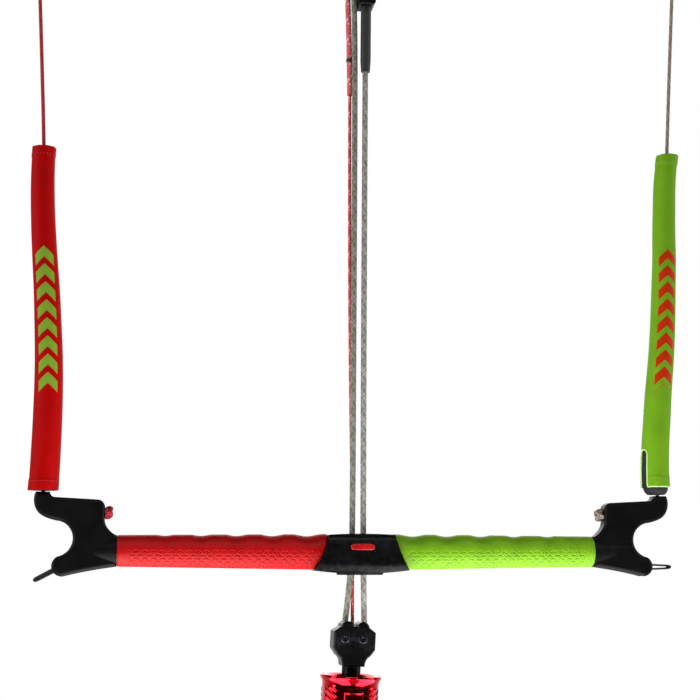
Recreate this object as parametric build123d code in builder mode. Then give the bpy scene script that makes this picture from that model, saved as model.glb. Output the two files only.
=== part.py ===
"""Kitesurf control bar with its floats, leaders, depower lines and quick release.

Frame: millimetres, +X along the bar to the rider's right-hand end in this view, +Z towards the kite,
-Y towards the viewer. The origin is the centre of the bar, on its axis.
"""
from build123d import *
from math import cos, pi, radians, sin, tan
import os

# ---- bar -------------------------------------------------------------------------------------
BAR_HALF = 275.0            # half the length over both bar ends
TUBE_R = 10.0
TUBE_BORE = 8.4
TUBE_IN = 24.0              # |X| where each tube half starts, inside the hub
GRIP_OUT = 206.0            # |X| of the joint between a grip and its bar end
GRIP_R_OUT = 13.0
GRIP_R_IN = 15.0
GRIP_DROP = 1.0             # the grip's axis falls this much towards the hub
BUMP_FIRST = 61.0           # |X| of the first finger bump
BUMP_PITCH = 30.0
BUMP_COUNT = 5
BUMP_TOP = 14.9             # Z of a bump's crest
BUMP_DIP = 12.9             # Z of the dip between two bumps

# ---- hub -------------------------------------------------------------------------------------
HUB_TOP = 15.0
HUB_BOTTOM = -18.8
HUB_TOP_HALF = 28.4         # half width along the top edge
HUB_LOW_HALF = 40.6         # half width along the bottom edge
HUB_DEPTH = 18.0            # half depth in Y
HUB_ROUND = 8.6             # corner radius of its section
SLOT_DEPTH = 8.8            # half depth in Y of the passage through the hub
SLOT_MID = 20.8             # half width of the passage at the pivot
SLOT_LOW = 24.8             # half width of its lower mouth
SLOT_HIGH = 23.2            # half width of its upper mouth
TRUNNION_R = 3.0
TRUNNION_END = 12.0         # |Y| reached by the line guide's trunnions
RUN_GAP = 0.05              # radial clearance of every running fit

# ---- line guide ------------------------------------------------------------------------------
GUIDE_HALF = 20.2
GUIDE_DEPTH = 8.4
GUIDE_TOP = 12.5
GUIDE_LOW = -19.9
GUIDE_HOLE_X = -2.4         # the lines run a little left of the middle
GUIDE_HOLE_HALF = 13.6
GUIDE_HOLE_DEPTH = 6.4

# ---- bar ends --------------------------------------------------------------------------------
END_THICK = 17.0
EDGE_ROUND = 3.4
NECK_X = 268.0              # |X| of the leader's exit
NECK_TOP = 49.0
LOOP_PIN_X = 251.8          # |X| of the winder loop's pin
LOOP_PIN_Z = -13.0
LOOP_PIN_R = 2.0
FORK_GAP = 11.0             # gap in the horn, in Y, that the winder loop swings in
FORK_FACE = 246.6           # |X| of the gap's inner face
LOOP_REACH = 25.5           # winder loop, pin centre to tip
LOOP_WIDTH = 10.0
LOOP_PLY = 1.5

# ---- lines -----------------------------------------------------------------------------------
LEADER_R = 1.6
DEPOWER_R = 2.5
SAFETY_R = 1.5
SAFETY_FAT_R = 2.5
FLOAT_WALL = 0.8
COVER_LIFT = 7.0            # the right cover stops this far above the foot of its foam
LEADER_LEFT = [(-268, 0, 40.5), (-268, 0, 56), (-266.2, 0, 100), (-268, 0, 185), (-274.2, 0, 270),
               (-276.6, 0, 350), (-281.7, 0, 440), (-287.2, 0, 532)]
LEADER_RIGHT = [(268, 0, 40.5), (267.4, 0, 56), (267.8, 0, 100), (276.6, 0, 190), (281.2, 0, 270),
                (287.2, 0, 362), (292.8, 0, 450), (298.6, 0, 532)]
FLOAT_LEFT = [(-268.4, 50.4, 12.4), (-266.2, 102, 12.3), (-268.1, 186, 11.5), (-274.4, 271, 10.5),
              (-276.4, 346, 9.9)]
FLOAT_RIGHT = [(266.4, 50.4, 12.3), (269, 115, 12.1), (277.3, 198, 11.3), (281.5, 280, 10.5),
               (287.4, 362, 9.8)]
DEPOWER_LEFT = [(-13.6, 0, -66), (-7.6, 0, -20), (-6.3, 0, 22), (-5.2, 0, 200), (-3.8, 0, 430),
                (-4.6, 0, 500), (-7.8, 0, 548), (-7.8, 0, 573.8), (7.8, 0, 573.8), (7.8, 0, 522)]
DEPOWER_RIGHT = [(3.9, 0, -66), (3.1, 0, -20), (3.0, 0, 22), (3.9, 0, 215), (5.5, 0, 431)]
SAFETY = [(-5.9, 4.2, -66), (-5.6, 4.3, -20), (-5.8, 4.6, 30), (-8.0, 4.5, 190), (-8.3, 4.3, 330),
          (-8.0, 4.4, 408)]
SAFETY_UP = [(-8.0, 4.4, 408), (-8.3, 5.0, 460), (-10.2, 7.4, 522)]

# ---- sleeve, cleat and pulley ----------------------------------------------------------------
SLEEVE_R = 4.7
SLEEVE_LOW = 429.0
CLEAT_LOW = 490.0
CLEAT_TOP = 540.0
CLEAT_X = 5.6
CLEAT_HALF = 8.3
CLEAT_DEPTH = 11.0
SHEAVE_Z = 566.0
SHEAVE_R = 7.8              # radius that the rope's middle runs at
SHEAVE_HALF = 3.4
CHEEK_GAP = 3.8             # |Y| of a cheek plate's inner face
CHEEK_THICK = 2.0
PIN_R = 3.0
EYE_Z = 592.0
EYE_R = 4.0
EYE_LUG_R = 8.0
WHIPPING_Z = 438.6
SAFETY_LOOP_Z = 533.5

# ---- quick release: x across and heights along its own axis, from its top ----------------------
RELEASE_LEAN = 3.0          # degrees the whole release hangs off plumb
RELEASE_TOP = (-5.4, 0, -58.8)
HEAD_HALF = 17.8
HEAD_DEPTH = 13.0
HEAD_LOW = -37.0
ANCHOR_X = 7.6
ANCHOR_SHIFT = -0.6
ANCHOR_H = -14.4
STEM_R = 8.0
STEM_LOW = -50.0
FLANGE_R = 12.0
FLANGE_TOP = -22.6
FLANGE_LOW = -26.0
WASHER = 1.0
HANDLE_TOP = -44.5
HANDLE_LOW = -116.0
HANDLE_R = 24.0
HANDLE_RIM = 26.1
HANDLE_BORE = 17.0
LEDGE_H = -92.0             # ledge inside the handle that the spring presses on
CORE_R = 11.0
COLLAR_TOP = -58.0
COLLAR_LOW = -62.0
SPRING_R = 14.2
SPRING_WIRE = 1.2
SPRING_TURNS = 6
BLOCK_TOP = -122.0
BLOCK_LOW = -150.0
BLOCK_HALF = 25.0
BLOCK_DEPTH = 12.5
LOOP_EYE_X = 17.0
LOOP_EYE_H = -141.0
LOOP_PIVOT_R = 2.5
LOOP_EYE_R = 6.0
LOOP_EYE_HALF = 4.6
LOOP_SLOT = 5.0             # |Y| of the fork's inner faces
LOOP_ROD_R = 7.0
LOOP_SIDE = 27.0
LOOP_FOOT = -232.0
FINGER_X = 40.0
FINGER_H = -180.0
FINGER_R = 4.5
FINGER_LENGTH = 64.0
FINGER_PIN_R = 2.0
FINGER_LUG_R = 3.6
FINGER_LUG_HALF = 2.9
FINGER_EAR = 6.0            # |Y| of the finger's ears, outside

parts = {}


def save(part, name):
    """Label a finished piece and keep it for export under its node name."""
    part.label = name
    parts[name] = part


def corner_radii(points):
    """Arc radius at each inner point of a line's route: as large as its two runs allow."""
    radii = []
    for before, here, after in zip(points, points[1:], points[2:]):
        run_in = Vector(*here) - Vector(*before)
        run_out = Vector(*after) - Vector(*here)
        half_turn = radians(run_in.get_angle(run_out)) / 2
        radii.append(0.45 * min(run_in.length, run_out.length) / tan(half_turn))
    return radii


def cord(name, points, radius, sheave=None):
    """A plain round cord: straight runs joined by arcs, its last two turns a sheave's if one is given."""
    radii = corner_radii(points)
    if sheave:
        radii[-2:] = [sheave, sheave]
    with BuildPart() as tube:
        with BuildLine():
            route = FilletPolyline(*points, radius=radii)
        with BuildSketch(Plane(origin=route @ 0, z_dir=route % 0)):
            Circle(radius)
        sweep(path=route)
    ideal = route.length * pi * radius ** 2
    print(f"{name}: length {route.length:.1f}, radii {[round(r) for r in radii]},"
          f" volume ratio {tube.part.volume / ideal:.4f}")
    return tube.part


def release_plane(height=0.0):
    """Plane across the release's axis at a height along it; its own Z runs up the axis."""
    lean = radians(RELEASE_LEAN)
    up = Vector(sin(lean), 0, cos(lean))
    return Plane(origin=Vector(*RELEASE_TOP) + up * height, x_dir=(cos(lean), 0, -sin(lean)), z_dir=up)


def release_front(offset=0.0):
    """Plane through the release's axis, facing the viewer: local x right, local y up the axis."""
    lean = radians(RELEASE_LEAN)
    origin = Vector(*RELEASE_TOP) + Vector(0, -offset, 0)
    return Plane(origin=origin, x_dir=(cos(lean), 0, -sin(lean)), z_dir=(0, -1, 0))


def release_axis():
    """The release's own axis, upwards."""
    lean = radians(RELEASE_LEAN)
    return Axis(RELEASE_TOP, (sin(lean), 0, cos(lean)))


def hub_outline():
    """Front outline of the hub: arched top, flared sides, bowed bottom."""
    with BuildSketch(Plane.XZ) as outline:
        with BuildLine():
            top = ThreePointArc((-HUB_TOP_HALF, 13.9), (0, HUB_TOP), (HUB_TOP_HALF, 13.9))
            right = Spline(top @ 1, (30.8, 4.6), (34.8, -5.6), (HUB_LOW_HALF, -16.0))
            low = ThreePointArc(right @ 1, (0, HUB_BOTTOM), (-HUB_LOW_HALF, -16.0))
            Spline(low @ 1, (-34.8, -5.6), (-30.8, 4.6), top @ 0)
        make_face()
    return outline.sketch


# ---- bar tube, grips and hub -----------------------------------------------------------------
def make_tube(side, name):
    start = TUBE_IN if side > 0 else -GRIP_OUT
    with BuildPart() as tube:
        with BuildSketch(Plane.YZ.offset(start)):
            Circle(TUBE_R)
            Circle(TUBE_BORE, mode=Mode.SUBTRACT)
        extrude(amount=GRIP_OUT - TUBE_IN)
    save(tube.part, name)


def bump_edge(side):
    """Points along the grip's top edge, a crest at each finger bump and a dip between two."""
    points = [(side * (GRIP_OUT + 2), GRIP_R_OUT + 0.2)]
    for index in reversed(range(BUMP_COUNT)):
        crest = BUMP_FIRST + index * BUMP_PITCH
        points.append((side * (crest + 0.36 * BUMP_PITCH), BUMP_DIP))
        points.append((side * crest, BUMP_TOP))
    points.append((side * (BUMP_FIRST - 0.36 * BUMP_PITCH), BUMP_DIP))
    points.append((side * 20, BUMP_DIP + 0.6))
    return points


def make_grip(side, name):
    """Foam sleeve over the tube: thicker towards the hub, finger bumps along its top."""
    edge = bump_edge(side)
    with BuildPart() as grip:
        with BuildSketch(Plane.YZ.offset(side * GRIP_OUT)):
            Circle(GRIP_R_OUT)
        with BuildSketch(Plane.YZ.offset(side * HUB_TOP_HALF * 0.85)):
            with Locations((0, -GRIP_DROP + 0.4)):
                Circle(GRIP_R_IN)
        loft()
        with BuildSketch(Plane.XZ):
            with BuildLine():
                wave = Spline(*edge)
                Polyline(wave @ 1, (side * 20, -20), (side * (GRIP_OUT + 2), -20), wave @ 0)
            make_face()
        extrude(amount=25, both=True, mode=Mode.INTERSECT)
        with BuildSketch(Plane.YZ):
            Circle(TUBE_R)
        extrude(amount=side * (GRIP_OUT + 5), mode=Mode.SUBTRACT)
        extrude(hub_outline(), amount=25, both=True, mode=Mode.SUBTRACT)
    save(grip.part, name)


def make_hub():
    """Two moulded half shells, split in the plane of the lines and screwed from the back."""
    screw_spots = [(-25.0, 11.9), (25.0, 11.9), (-32.0, -12.6), (32.0, -12.6)]
    with BuildPart() as hub:
        extrude(hub_outline(), amount=HUB_DEPTH, both=True)
        with BuildSketch(Plane.YZ):
            with Locations((0, (HUB_TOP + HUB_BOTTOM) / 2)):
                RectangleRounded(2 * HUB_DEPTH, HUB_TOP - HUB_BOTTOM + 0.4, HUB_ROUND)
        extrude(amount=60, both=True, mode=Mode.INTERSECT)
        with BuildSketch(Plane.XZ):
            with BuildLine():
                Polyline((-SLOT_HIGH, 20), (-SLOT_HIGH, 15), (-SLOT_MID, 1), (-SLOT_MID, -1),
                         (-SLOT_LOW, -19), (-SLOT_LOW, -24), (SLOT_LOW, -24), (SLOT_LOW, -19),
                         (SLOT_MID, -1), (SLOT_MID, 1), (SLOT_HIGH, 15), (SLOT_HIGH, 20), close=True)
            make_face()
        extrude(amount=SLOT_DEPTH, both=True, mode=Mode.SUBTRACT)
        with BuildSketch(Plane.YZ):
            Circle(TUBE_R)
        extrude(amount=60, both=True, mode=Mode.SUBTRACT)
        with BuildSketch(Plane.XZ):
            Circle(TRUNNION_R + RUN_GAP)
        extrude(amount=TRUNNION_END + 0.3, both=True, mode=Mode.SUBTRACT)
        with BuildSketch(Plane.XZ.offset(-HUB_DEPTH - 1)):
            with Locations(screw_spots):
                Circle(1.6)
        extrude(amount=HUB_DEPTH + 8, mode=Mode.SUBTRACT)
    front = split(hub.part, bisect_by=Plane.XZ, keep=Keep.TOP)
    back = split(hub.part, bisect_by=Plane.XZ, keep=Keep.BOTTOM)
    save(front, "hub_front_shell")
    save(back, "hub_back_shell")
    with BuildPart() as screws:
        for x, z in screw_spots:
            with BuildSketch(Plane.XZ.offset(-10)):
                with Locations((x, z)):
                    Circle(1.6)
            extrude(amount=16)
    save(screws.part, "hub_screws")


def make_line_guide():
    """Oval guide that the lines run through, rocking on two trunnions inside the hub."""
    with BuildPart() as guide:
        with BuildSketch(Plane.XY.offset(GUIDE_LOW)):
            SlotOverall(2 * GUIDE_HALF, 2 * GUIDE_DEPTH)
        extrude(amount=GUIDE_TOP - GUIDE_LOW)
        with BuildSketch(Plane.XZ):
            Circle(TRUNNION_R)
        extrude(amount=TRUNNION_END, both=True)
        with BuildSketch(Plane.XY.offset(GUIDE_LOW - 1)):
            with Locations((GUIDE_HOLE_X, 0)):
                SlotOverall(2 * GUIDE_HOLE_HALF, 2 * GUIDE_HOLE_DEPTH)
        extrude(amount=GUIDE_TOP - GUIDE_LOW + 2, mode=Mode.SUBTRACT)
        rims = guide.edges().filter_by(GeomType.LINE, reverse=True).group_by(Axis.Z)
        chamfer(rims[-1], 0.8)
        chamfer(guide.edges().group_by(Axis.Z)[0], 0.8)
    save(guide.part, "line_guide")


# ---- bar ends --------------------------------------------------------------------------------
def end_outline(side):
    """Front outline of a bar end: arm up to the neck, round winding bay, lower horn."""
    with BuildSketch(Plane.XZ) as outline:
        with BuildLine():
            rise = Spline((side * GRIP_OUT, GRIP_R_OUT), (side * 212.2, 17.2), (side * 216.6, 27.0),
                          tangents=((side, 0.3), (0.02 * side, 1)))
            inner = Line(rise @ 1, (side * 216.4, 36.4))
            shoulder = ThreePointArc(inner @ 1, (side * 218.4, 41.0), (side * 223.4, 42.8))
            top = Line(shoulder @ 1, (side * 256.8, 44.6))
            lip = ThreePointArc(top @ 1, (side * 260.8, 45.9), (side * 262.4, NECK_TOP))
            crown = Line(lip @ 1, (side * 273.6, NECK_TOP))
            bulge = Spline(crown @ 1, (side * BAR_HALF, 41.0), (side * 270.8, 31.4), (side * 263.0, 27.0),
                           (side * 256.2, 25.2))
            bay = ThreePointArc(bulge @ 1, (side * 242.4, 11.2), (side * 254.6, -4.6))
            horn = ThreePointArc(bay @ 1, (side * 259.3, -12.4), (side * 250.4, -21.2))
            low = ThreePointArc(horn @ 1, (side * 228, -16.4), (side * GRIP_OUT, -GRIP_R_OUT))
            Line(low @ 1, rise @ 0)
        make_face()
    return outline.sketch


def make_bar_end(side, name):
    """Moulded end plugged into the tube: winding arm, leader neck and forked lower horn."""
    with BuildPart() as end:
        extrude(end_outline(side), amount=END_THICK / 2, both=True)
        flats = end.faces().sort_by(Axis.Y)
        fillet(flats[0].edges() + flats[-1].edges(), EDGE_ROUND)
        with BuildSketch(Plane.YZ.offset(side * GRIP_OUT)):
            Circle(GRIP_R_OUT)
        with BuildSketch(Plane.YZ.offset(side * (GRIP_OUT + 22))):
            Circle(8.2)
        loft()
        with BuildSketch(Plane.YZ.offset(side * GRIP_OUT)):
            Circle(TUBE_BORE)
        extrude(amount=-side * 26)
        with BuildSketch(Plane.XY.offset(38.0)):
            with Locations((side * NECK_X, 0)):
                Circle(3.0)
        extrude(amount=20, mode=Mode.SUBTRACT)
        with BuildSketch(Plane.XZ):
            with Locations((side * (FORK_FACE + 15), -11.5)):
                Rectangle(30, 27)
        extrude(amount=FORK_GAP / 2, both=True, mode=Mode.SUBTRACT)
        with BuildSketch(Plane.XZ):
            with Locations((side * LOOP_PIN_X, LOOP_PIN_Z)):
                Circle(LOOP_PIN_R)
        extrude(amount=END_THICK / 2 - 0.6, both=True, mode=Mode.SUBTRACT)
        with BuildSketch(Plane.YZ.offset(side * 212)):
            with Locations((0, 32.0)):
                Circle(LEADER_R)
        extrude(amount=side * 14, mode=Mode.SUBTRACT)
    save(end.part, name)


def make_loop_pins():
    """One steel pin across each horn's fork."""
    with BuildPart() as pins:
        with BuildSketch(Plane.XZ):
            with Locations((-LOOP_PIN_X, LOOP_PIN_Z), (LOOP_PIN_X, LOOP_PIN_Z)):
                Circle(LOOP_PIN_R)
        extrude(amount=END_THICK / 2 - 0.6, both=True)
    save(pins.part, "winder_loop_pins")


def make_winder_loop(side, droop, name):
    """Flat webbing loop round the horn's pin, its tip droop degrees below level."""
    eye_r = LOOP_PIN_R + RUN_GAP
    frame = Plane(origin=(side * LOOP_PIN_X, 0, LOOP_PIN_Z), z_dir=(0, -1, 0),
                  x_dir=(side * cos(radians(droop)), 0, -sin(radians(droop))))
    with BuildPart() as loop:
        with BuildSketch(frame):
            Circle(eye_r + LOOP_PLY)
            with BuildLine():
                Polyline((0, eye_r + LOOP_PLY), (LOOP_REACH - 2, LOOP_PLY + 0.5),
                         (LOOP_REACH, LOOP_PLY - 0.4), (LOOP_REACH, -LOOP_PLY + 0.4),
                         (LOOP_REACH - 2, -LOOP_PLY - 0.5), (0, -eye_r - LOOP_PLY), close=True)
            make_face()
            Circle(eye_r, mode=Mode.SUBTRACT)
            with BuildLine():
                Polyline((eye_r * 0.6, eye_r * 0.8), (LOOP_REACH - 4, 0.5), (LOOP_REACH - 4, -0.5),
                         (eye_r * 0.6, -eye_r * 0.8), close=True)
            make_face(mode=Mode.SUBTRACT)
        extrude(amount=LOOP_WIDTH / 2, both=True)
    save(loop.part, name)


def make_leader_knot(side, name):
    """Stopper knot of the leader, seated against the arm's inner face, with its short tail inside."""
    with BuildPart() as knot:
        with Locations((side * 212.6, 0, 32.0)):
            Sphere(5.2)
        with BuildSketch(Plane.YZ.offset(side * 216.2)):
            Rectangle(40, 120)
        extrude(amount=side * 20, mode=Mode.SUBTRACT)
        with BuildSketch(Plane.YZ.offset(side * 214)):
            with Locations((0, 32.0)):
                Circle(LEADER_R)
        extrude(amount=side * 11.5)
    save(knot.part, name)


# ---- floats and leaders ----------------------------------------------------------------------
def float_form(sections, grow, lift=0.0):
    """Lofted round form through a float's sections (x, z, radius), its foot raised by lift."""
    with BuildPart() as form:
        for index, (x, z, radius) in enumerate(sections):
            level = z + lift if index == 0 else z
            with BuildSketch(Plane.XY.offset(level)):
                with Locations((x, 0)):
                    Circle(radius + grow)
        loft()
    return form.part


def make_float(sections, leader, lift, side_name):
    """Foam float threaded on its leader, inside a sewn cloth cover."""
    with BuildPart() as core:
        add(float_form(sections, -FLOAT_WALL))
        add(leader, mode=Mode.SUBTRACT)
    save(core.part, f"float_core_{side_name}")
    with BuildPart() as cover:
        add(float_form(sections, 0.0, lift))
        add(float_form(sections, -FLOAT_WALL), mode=Mode.SUBTRACT)
    save(cover.part, f"float_cover_{side_name}")


def make_leader_loop(x, z, lean, leader, name):
    """Pigtail at the leader's upper end: a stopper knot and a loop for the kite's back line."""
    frame = Plane(origin=(x, 0, z), z_dir=(0, -1, 0), x_dir=(cos(lean), 0, -sin(lean)))
    with BuildPart() as loop:
        with BuildSketch(frame):
            with Locations((0, 17)):
                Ellipse(5.6, 14.0)
                Ellipse(3.2, 11.0, mode=Mode.SUBTRACT)
        extrude(amount=LEADER_R, both=True)
        with Locations((x, 0, z)):
            Sphere(4.8)
        add(leader, mode=Mode.SUBTRACT)
    save(loop.part, name)


# ---- cleat, pulley and the tops of the lines -------------------------------------------------
def make_sleeve(line):
    """Shrunk sleeve over the right depower line, below the cleat."""
    with BuildPart() as sleeve:
        for level, x, radius in ((SLEEVE_LOW, 5.6, SLEEVE_R - 0.7), (SLEEVE_LOW + 10, 5.7, SLEEVE_R),
                                 (CLEAT_LOW, 6.2, SLEEVE_R)):
            with BuildSketch(Plane.XY.offset(level)):
                with Locations((x, 0)):
                    Circle(radius)
        loft(ruled=True)
        add(line, mode=Mode.SUBTRACT)
    save(sleeve.part, "cleat_sleeve")


def make_cleat(line):
    """Moulded clam cleat: the trim rope drops into its throat, the other part runs past its side."""
    with BuildPart() as cleat:
        with BuildSketch(Plane.XZ):
            with Locations((CLEAT_X, (CLEAT_LOW + CLEAT_TOP) / 2)):
                RectangleRounded(2 * CLEAT_HALF, CLEAT_TOP - CLEAT_LOW, 3.0)
        extrude(amount=CLEAT_DEPTH, both=True)
        flats = cleat.faces().sort_by(Axis.Y)
        fillet(flats[0].edges() + flats[-1].edges(), 1.6)
        with BuildSketch(Plane.XZ):
            with Locations((CLEAT_X - CLEAT_HALF, (CLEAT_LOW + CLEAT_TOP) / 2)):
                Rectangle(3.6, CLEAT_TOP - CLEAT_LOW + 2)
        extrude(amount=4, both=True, mode=Mode.SUBTRACT)
        with BuildSketch(Plane.XY.offset(CLEAT_TOP)):
            with Locations((SHEAVE_R, -CLEAT_DEPTH / 2)):
                Rectangle(2 * DEPOWER_R + 0.6, CLEAT_DEPTH + 2 * DEPOWER_R + 1)
        extrude(amount=-19, mode=Mode.SUBTRACT)
        add(line, mode=Mode.SUBTRACT)
    save(cleat.part, "cleat_body")


def make_pulley():
    """Trim pulley: grooved sheave on a pin between two cheek plates that share the front-line eye."""
    with BuildPart() as sheave:
        with BuildSketch(Plane.XZ):
            with Locations((0, SHEAVE_Z)):
                Circle(SHEAVE_R + 1.4)
                Circle(PIN_R + RUN_GAP, mode=Mode.SUBTRACT)
        extrude(amount=SHEAVE_HALF, both=True)
        with Locations(Plane((0, 0, SHEAVE_Z), z_dir=(0, 1, 0))):
            Torus(SHEAVE_R, DEPOWER_R + 0.35, mode=Mode.SUBTRACT)
    save(sheave.part, "pulley_sheave")

    with BuildPart() as cheeks:
        for side in (-1, 1):
            with BuildSketch(Plane.XZ.offset(side * (CHEEK_GAP + CHEEK_THICK / 2))):
                with BuildLine():
                    low = ThreePointArc((-11, SHEAVE_Z), (0, SHEAVE_Z - 11), (11, SHEAVE_Z))
                    Polyline(low @ 1, (EYE_LUG_R, EYE_Z), (-EYE_LUG_R, EYE_Z), low @ 0)
                make_face()
                with Locations((0, EYE_Z)):
                    Circle(EYE_LUG_R)
                with Locations((0, SHEAVE_Z)):
                    Circle(PIN_R, mode=Mode.SUBTRACT)
            extrude(amount=CHEEK_THICK / 2, both=True)
        with BuildSketch(Plane.XZ):
            with Locations((0, EYE_Z)):
                Circle(EYE_LUG_R)
        extrude(amount=CHEEK_GAP, both=True)
        with BuildSketch(Plane.XZ):
            with Locations((0, EYE_Z)):
                Circle(EYE_R)
        extrude(amount=CHEEK_GAP + CHEEK_THICK, both=True, mode=Mode.SUBTRACT)
    save(cheeks.part, "pulley_cheeks")

    with BuildPart() as pin:
        with BuildSketch(Plane.XZ):
            with Locations((0, SHEAVE_Z)):
                Circle(PIN_R)
        extrude(amount=CHEEK_GAP + CHEEK_THICK, both=True)
    save(pin.part, "pulley_pin")


def make_safety_top(line):
    """Whipping round the safety line's splice, and the loop and knot at its upper end."""
    with BuildPart() as whipping:
        with BuildSketch(Plane.XY.offset(WHIPPING_Z)):
            with Locations((-8.2, 4.8)):
                Circle(3.2)
        extrude(amount=4)
        fillet(whipping.edges(), 1.2)
        add(line, mode=Mode.SUBTRACT)
    save(whipping.part, "safety_whipping")

    with BuildPart() as end_loop:
        with Locations(Plane((-12.6, 7.4, SAFETY_LOOP_Z), z_dir=(0, 1, 0))):
            Torus(7.8, 2.0)
        with Locations((-10.6, 7.4, SAFETY_LOOP_Z - 10.5)):
            Sphere(4.2)
        add(line, mode=Mode.SUBTRACT)
    save(end_loop.part, "safety_end_loop")


# ---- quick release head ----------------------------------------------------------------------
def head_outline():
    """Front outline of the head: two line lobes, square shoulders, chamfered foot."""
    with BuildSketch(release_front()) as outline:
        with BuildLine():
            left_lobe = ThreePointArc((-11.8, -4.4), (-6.4, 0.2), (-1.2, -3.8))
            right_lobe = ThreePointArc((1.8, -3.8), (7.0, 0.0), (12.2, -4.6))
            Line(left_lobe @ 1, right_lobe @ 0)
            Polyline(right_lobe @ 1, (HEAD_HALF, -8.6), (HEAD_HALF, -22.8), (13.8, -28.4))
            Spline((13.8, -28.4), (10.8, -31.4), (9.5, HEAD_LOW), tangents=((-1, -0.6), (0, -1)))
            Line((9.5, HEAD_LOW), (-9.5, HEAD_LOW))
            left_foot = Spline((-9.5, HEAD_LOW), (-10.8, -31.4), (-13.8, -28.4), tangents=((0, 1), (-1, 0.6)))
            Polyline(left_foot @ 1, (-HEAD_HALF, -22.8), (-HEAD_HALF, -8.6), left_lobe @ 0)
        make_face()
    return outline.sketch


def make_head(lines):
    """Two half shells clamped round the swivel's flange and the anchored ends of the lines."""
    anchors = [(ANCHOR_SHIFT - ANCHOR_X, ANCHOR_H), (ANCHOR_SHIFT + ANCHOR_X, ANCHOR_H)]
    with BuildPart() as head:
        extrude(head_outline(), amount=HEAD_DEPTH, both=True)
        flats = head.faces().sort_by(Axis.Y)
        chamfer(flats[0].edges() + flats[-1].edges(), 1.2)
        with BuildSketch(release_plane(HEAD_LOW - 1)):
            Circle(STEM_R + RUN_GAP)
        extrude(amount=FLANGE_LOW - HEAD_LOW, mode=Mode.SUBTRACT)
        with BuildSketch(release_plane(FLANGE_LOW - WASHER - RUN_GAP)):
            Circle(FLANGE_R + RUN_GAP)
        extrude(amount=FLANGE_TOP - FLANGE_LOW + WASHER + 2 * RUN_GAP, mode=Mode.SUBTRACT)
        with BuildSketch(release_front()):
            with Locations(*anchors):
                Circle(5.6)
        extrude(amount=2.6, both=True, mode=Mode.SUBTRACT)
        with BuildSketch(release_front()):
            with Locations(*anchors):
                Circle(PIN_R)
        extrude(amount=HEAD_DEPTH + 1, both=True, mode=Mode.SUBTRACT)
        for line in lines:
            add(line, mode=Mode.SUBTRACT)
    save(split(head.part, bisect_by=Plane.XZ, keep=Keep.TOP), "head_front_shell")
    save(split(head.part, bisect_by=Plane.XZ, keep=Keep.BOTTOM), "head_back_shell")

    with BuildPart() as pins:
        with BuildSketch(release_front()):
            with Locations(*anchors):
                Circle(PIN_R)
        extrude(amount=HEAD_DEPTH + 0.6, both=True)
    save(pins.part, "head_pins")

    with BuildPart() as eyes:
        with BuildSketch(release_front()):
            with Locations(*anchors):
                Circle(5.4)
                Circle(PIN_R, mode=Mode.SUBTRACT)
        extrude(amount=2.4, both=True)
        for line in lines:
            add(line, mode=Mode.SUBTRACT)
    save(eyes.part, "line_eyes")


# ---- swivel, release body and handle ---------------------------------------------------------
def make_release():
    """Swivel stem, release body with its fork, and the pins it carries."""
    with BuildPart() as stem:
        with BuildSketch(release_plane(STEM_LOW)):
            Circle(STEM_R)
        extrude(amount=FLANGE_TOP - STEM_LOW)
        with BuildSketch(release_plane(FLANGE_LOW)):
            Circle(FLANGE_R)
        extrude(amount=FLANGE_TOP - FLANGE_LOW)
    save(stem.part, "swivel_stem")

    with BuildPart() as washer:
        with BuildSketch(release_plane(FLANGE_LOW - WASHER - RUN_GAP)):
            Circle(FLANGE_R + RUN_GAP)
            Circle(STEM_R + RUN_GAP, mode=Mode.SUBTRACT)
        extrude(amount=WASHER)
    save(washer.part, "swivel_washer")

    with BuildPart() as body:
        with BuildSketch(release_plane(BLOCK_TOP)):
            Circle(CORE_R)
        extrude(amount=STEM_LOW - BLOCK_TOP)
        with BuildSketch(release_plane(COLLAR_LOW)):
            Circle(HANDLE_BORE - RUN_GAP)
        extrude(amount=COLLAR_TOP - COLLAR_LOW)
        with BuildSketch(release_front()):
            with Locations((0, (BLOCK_TOP + BLOCK_LOW) / 2)):
                RectangleRounded(2 * BLOCK_HALF, BLOCK_TOP - BLOCK_LOW, 6)
        extrude(amount=BLOCK_DEPTH, both=True)
        flats = body.faces().sort_by(Axis.Y)
        fillet(flats[0].edges() + flats[-1].edges(), 2.0)
        with BuildSketch(release_front()):
            for side in (-1, 1):
                with Locations((side * (LOOP_EYE_X + 3), BLOCK_LOW + 4)):
                    Rectangle(2 * LOOP_EYE_R + 12, 26)
        extrude(amount=LOOP_SLOT, both=True, mode=Mode.SUBTRACT)
        with BuildSketch(release_front()):
            with Locations((LOOP_EYE_X, LOOP_EYE_H)):
                Circle(LOOP_PIVOT_R)
        extrude(amount=BLOCK_DEPTH, both=True, mode=Mode.SUBTRACT)
    save(body.part, "release_body")

    with BuildPart() as pivot:
        with BuildSketch(release_front()):
            with Locations((LOOP_EYE_X, LOOP_EYE_H)):
                Circle(LOOP_PIVOT_R)
        extrude(amount=BLOCK_DEPTH, both=True)
    save(pivot.part, "loop_pivot_pin")


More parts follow.
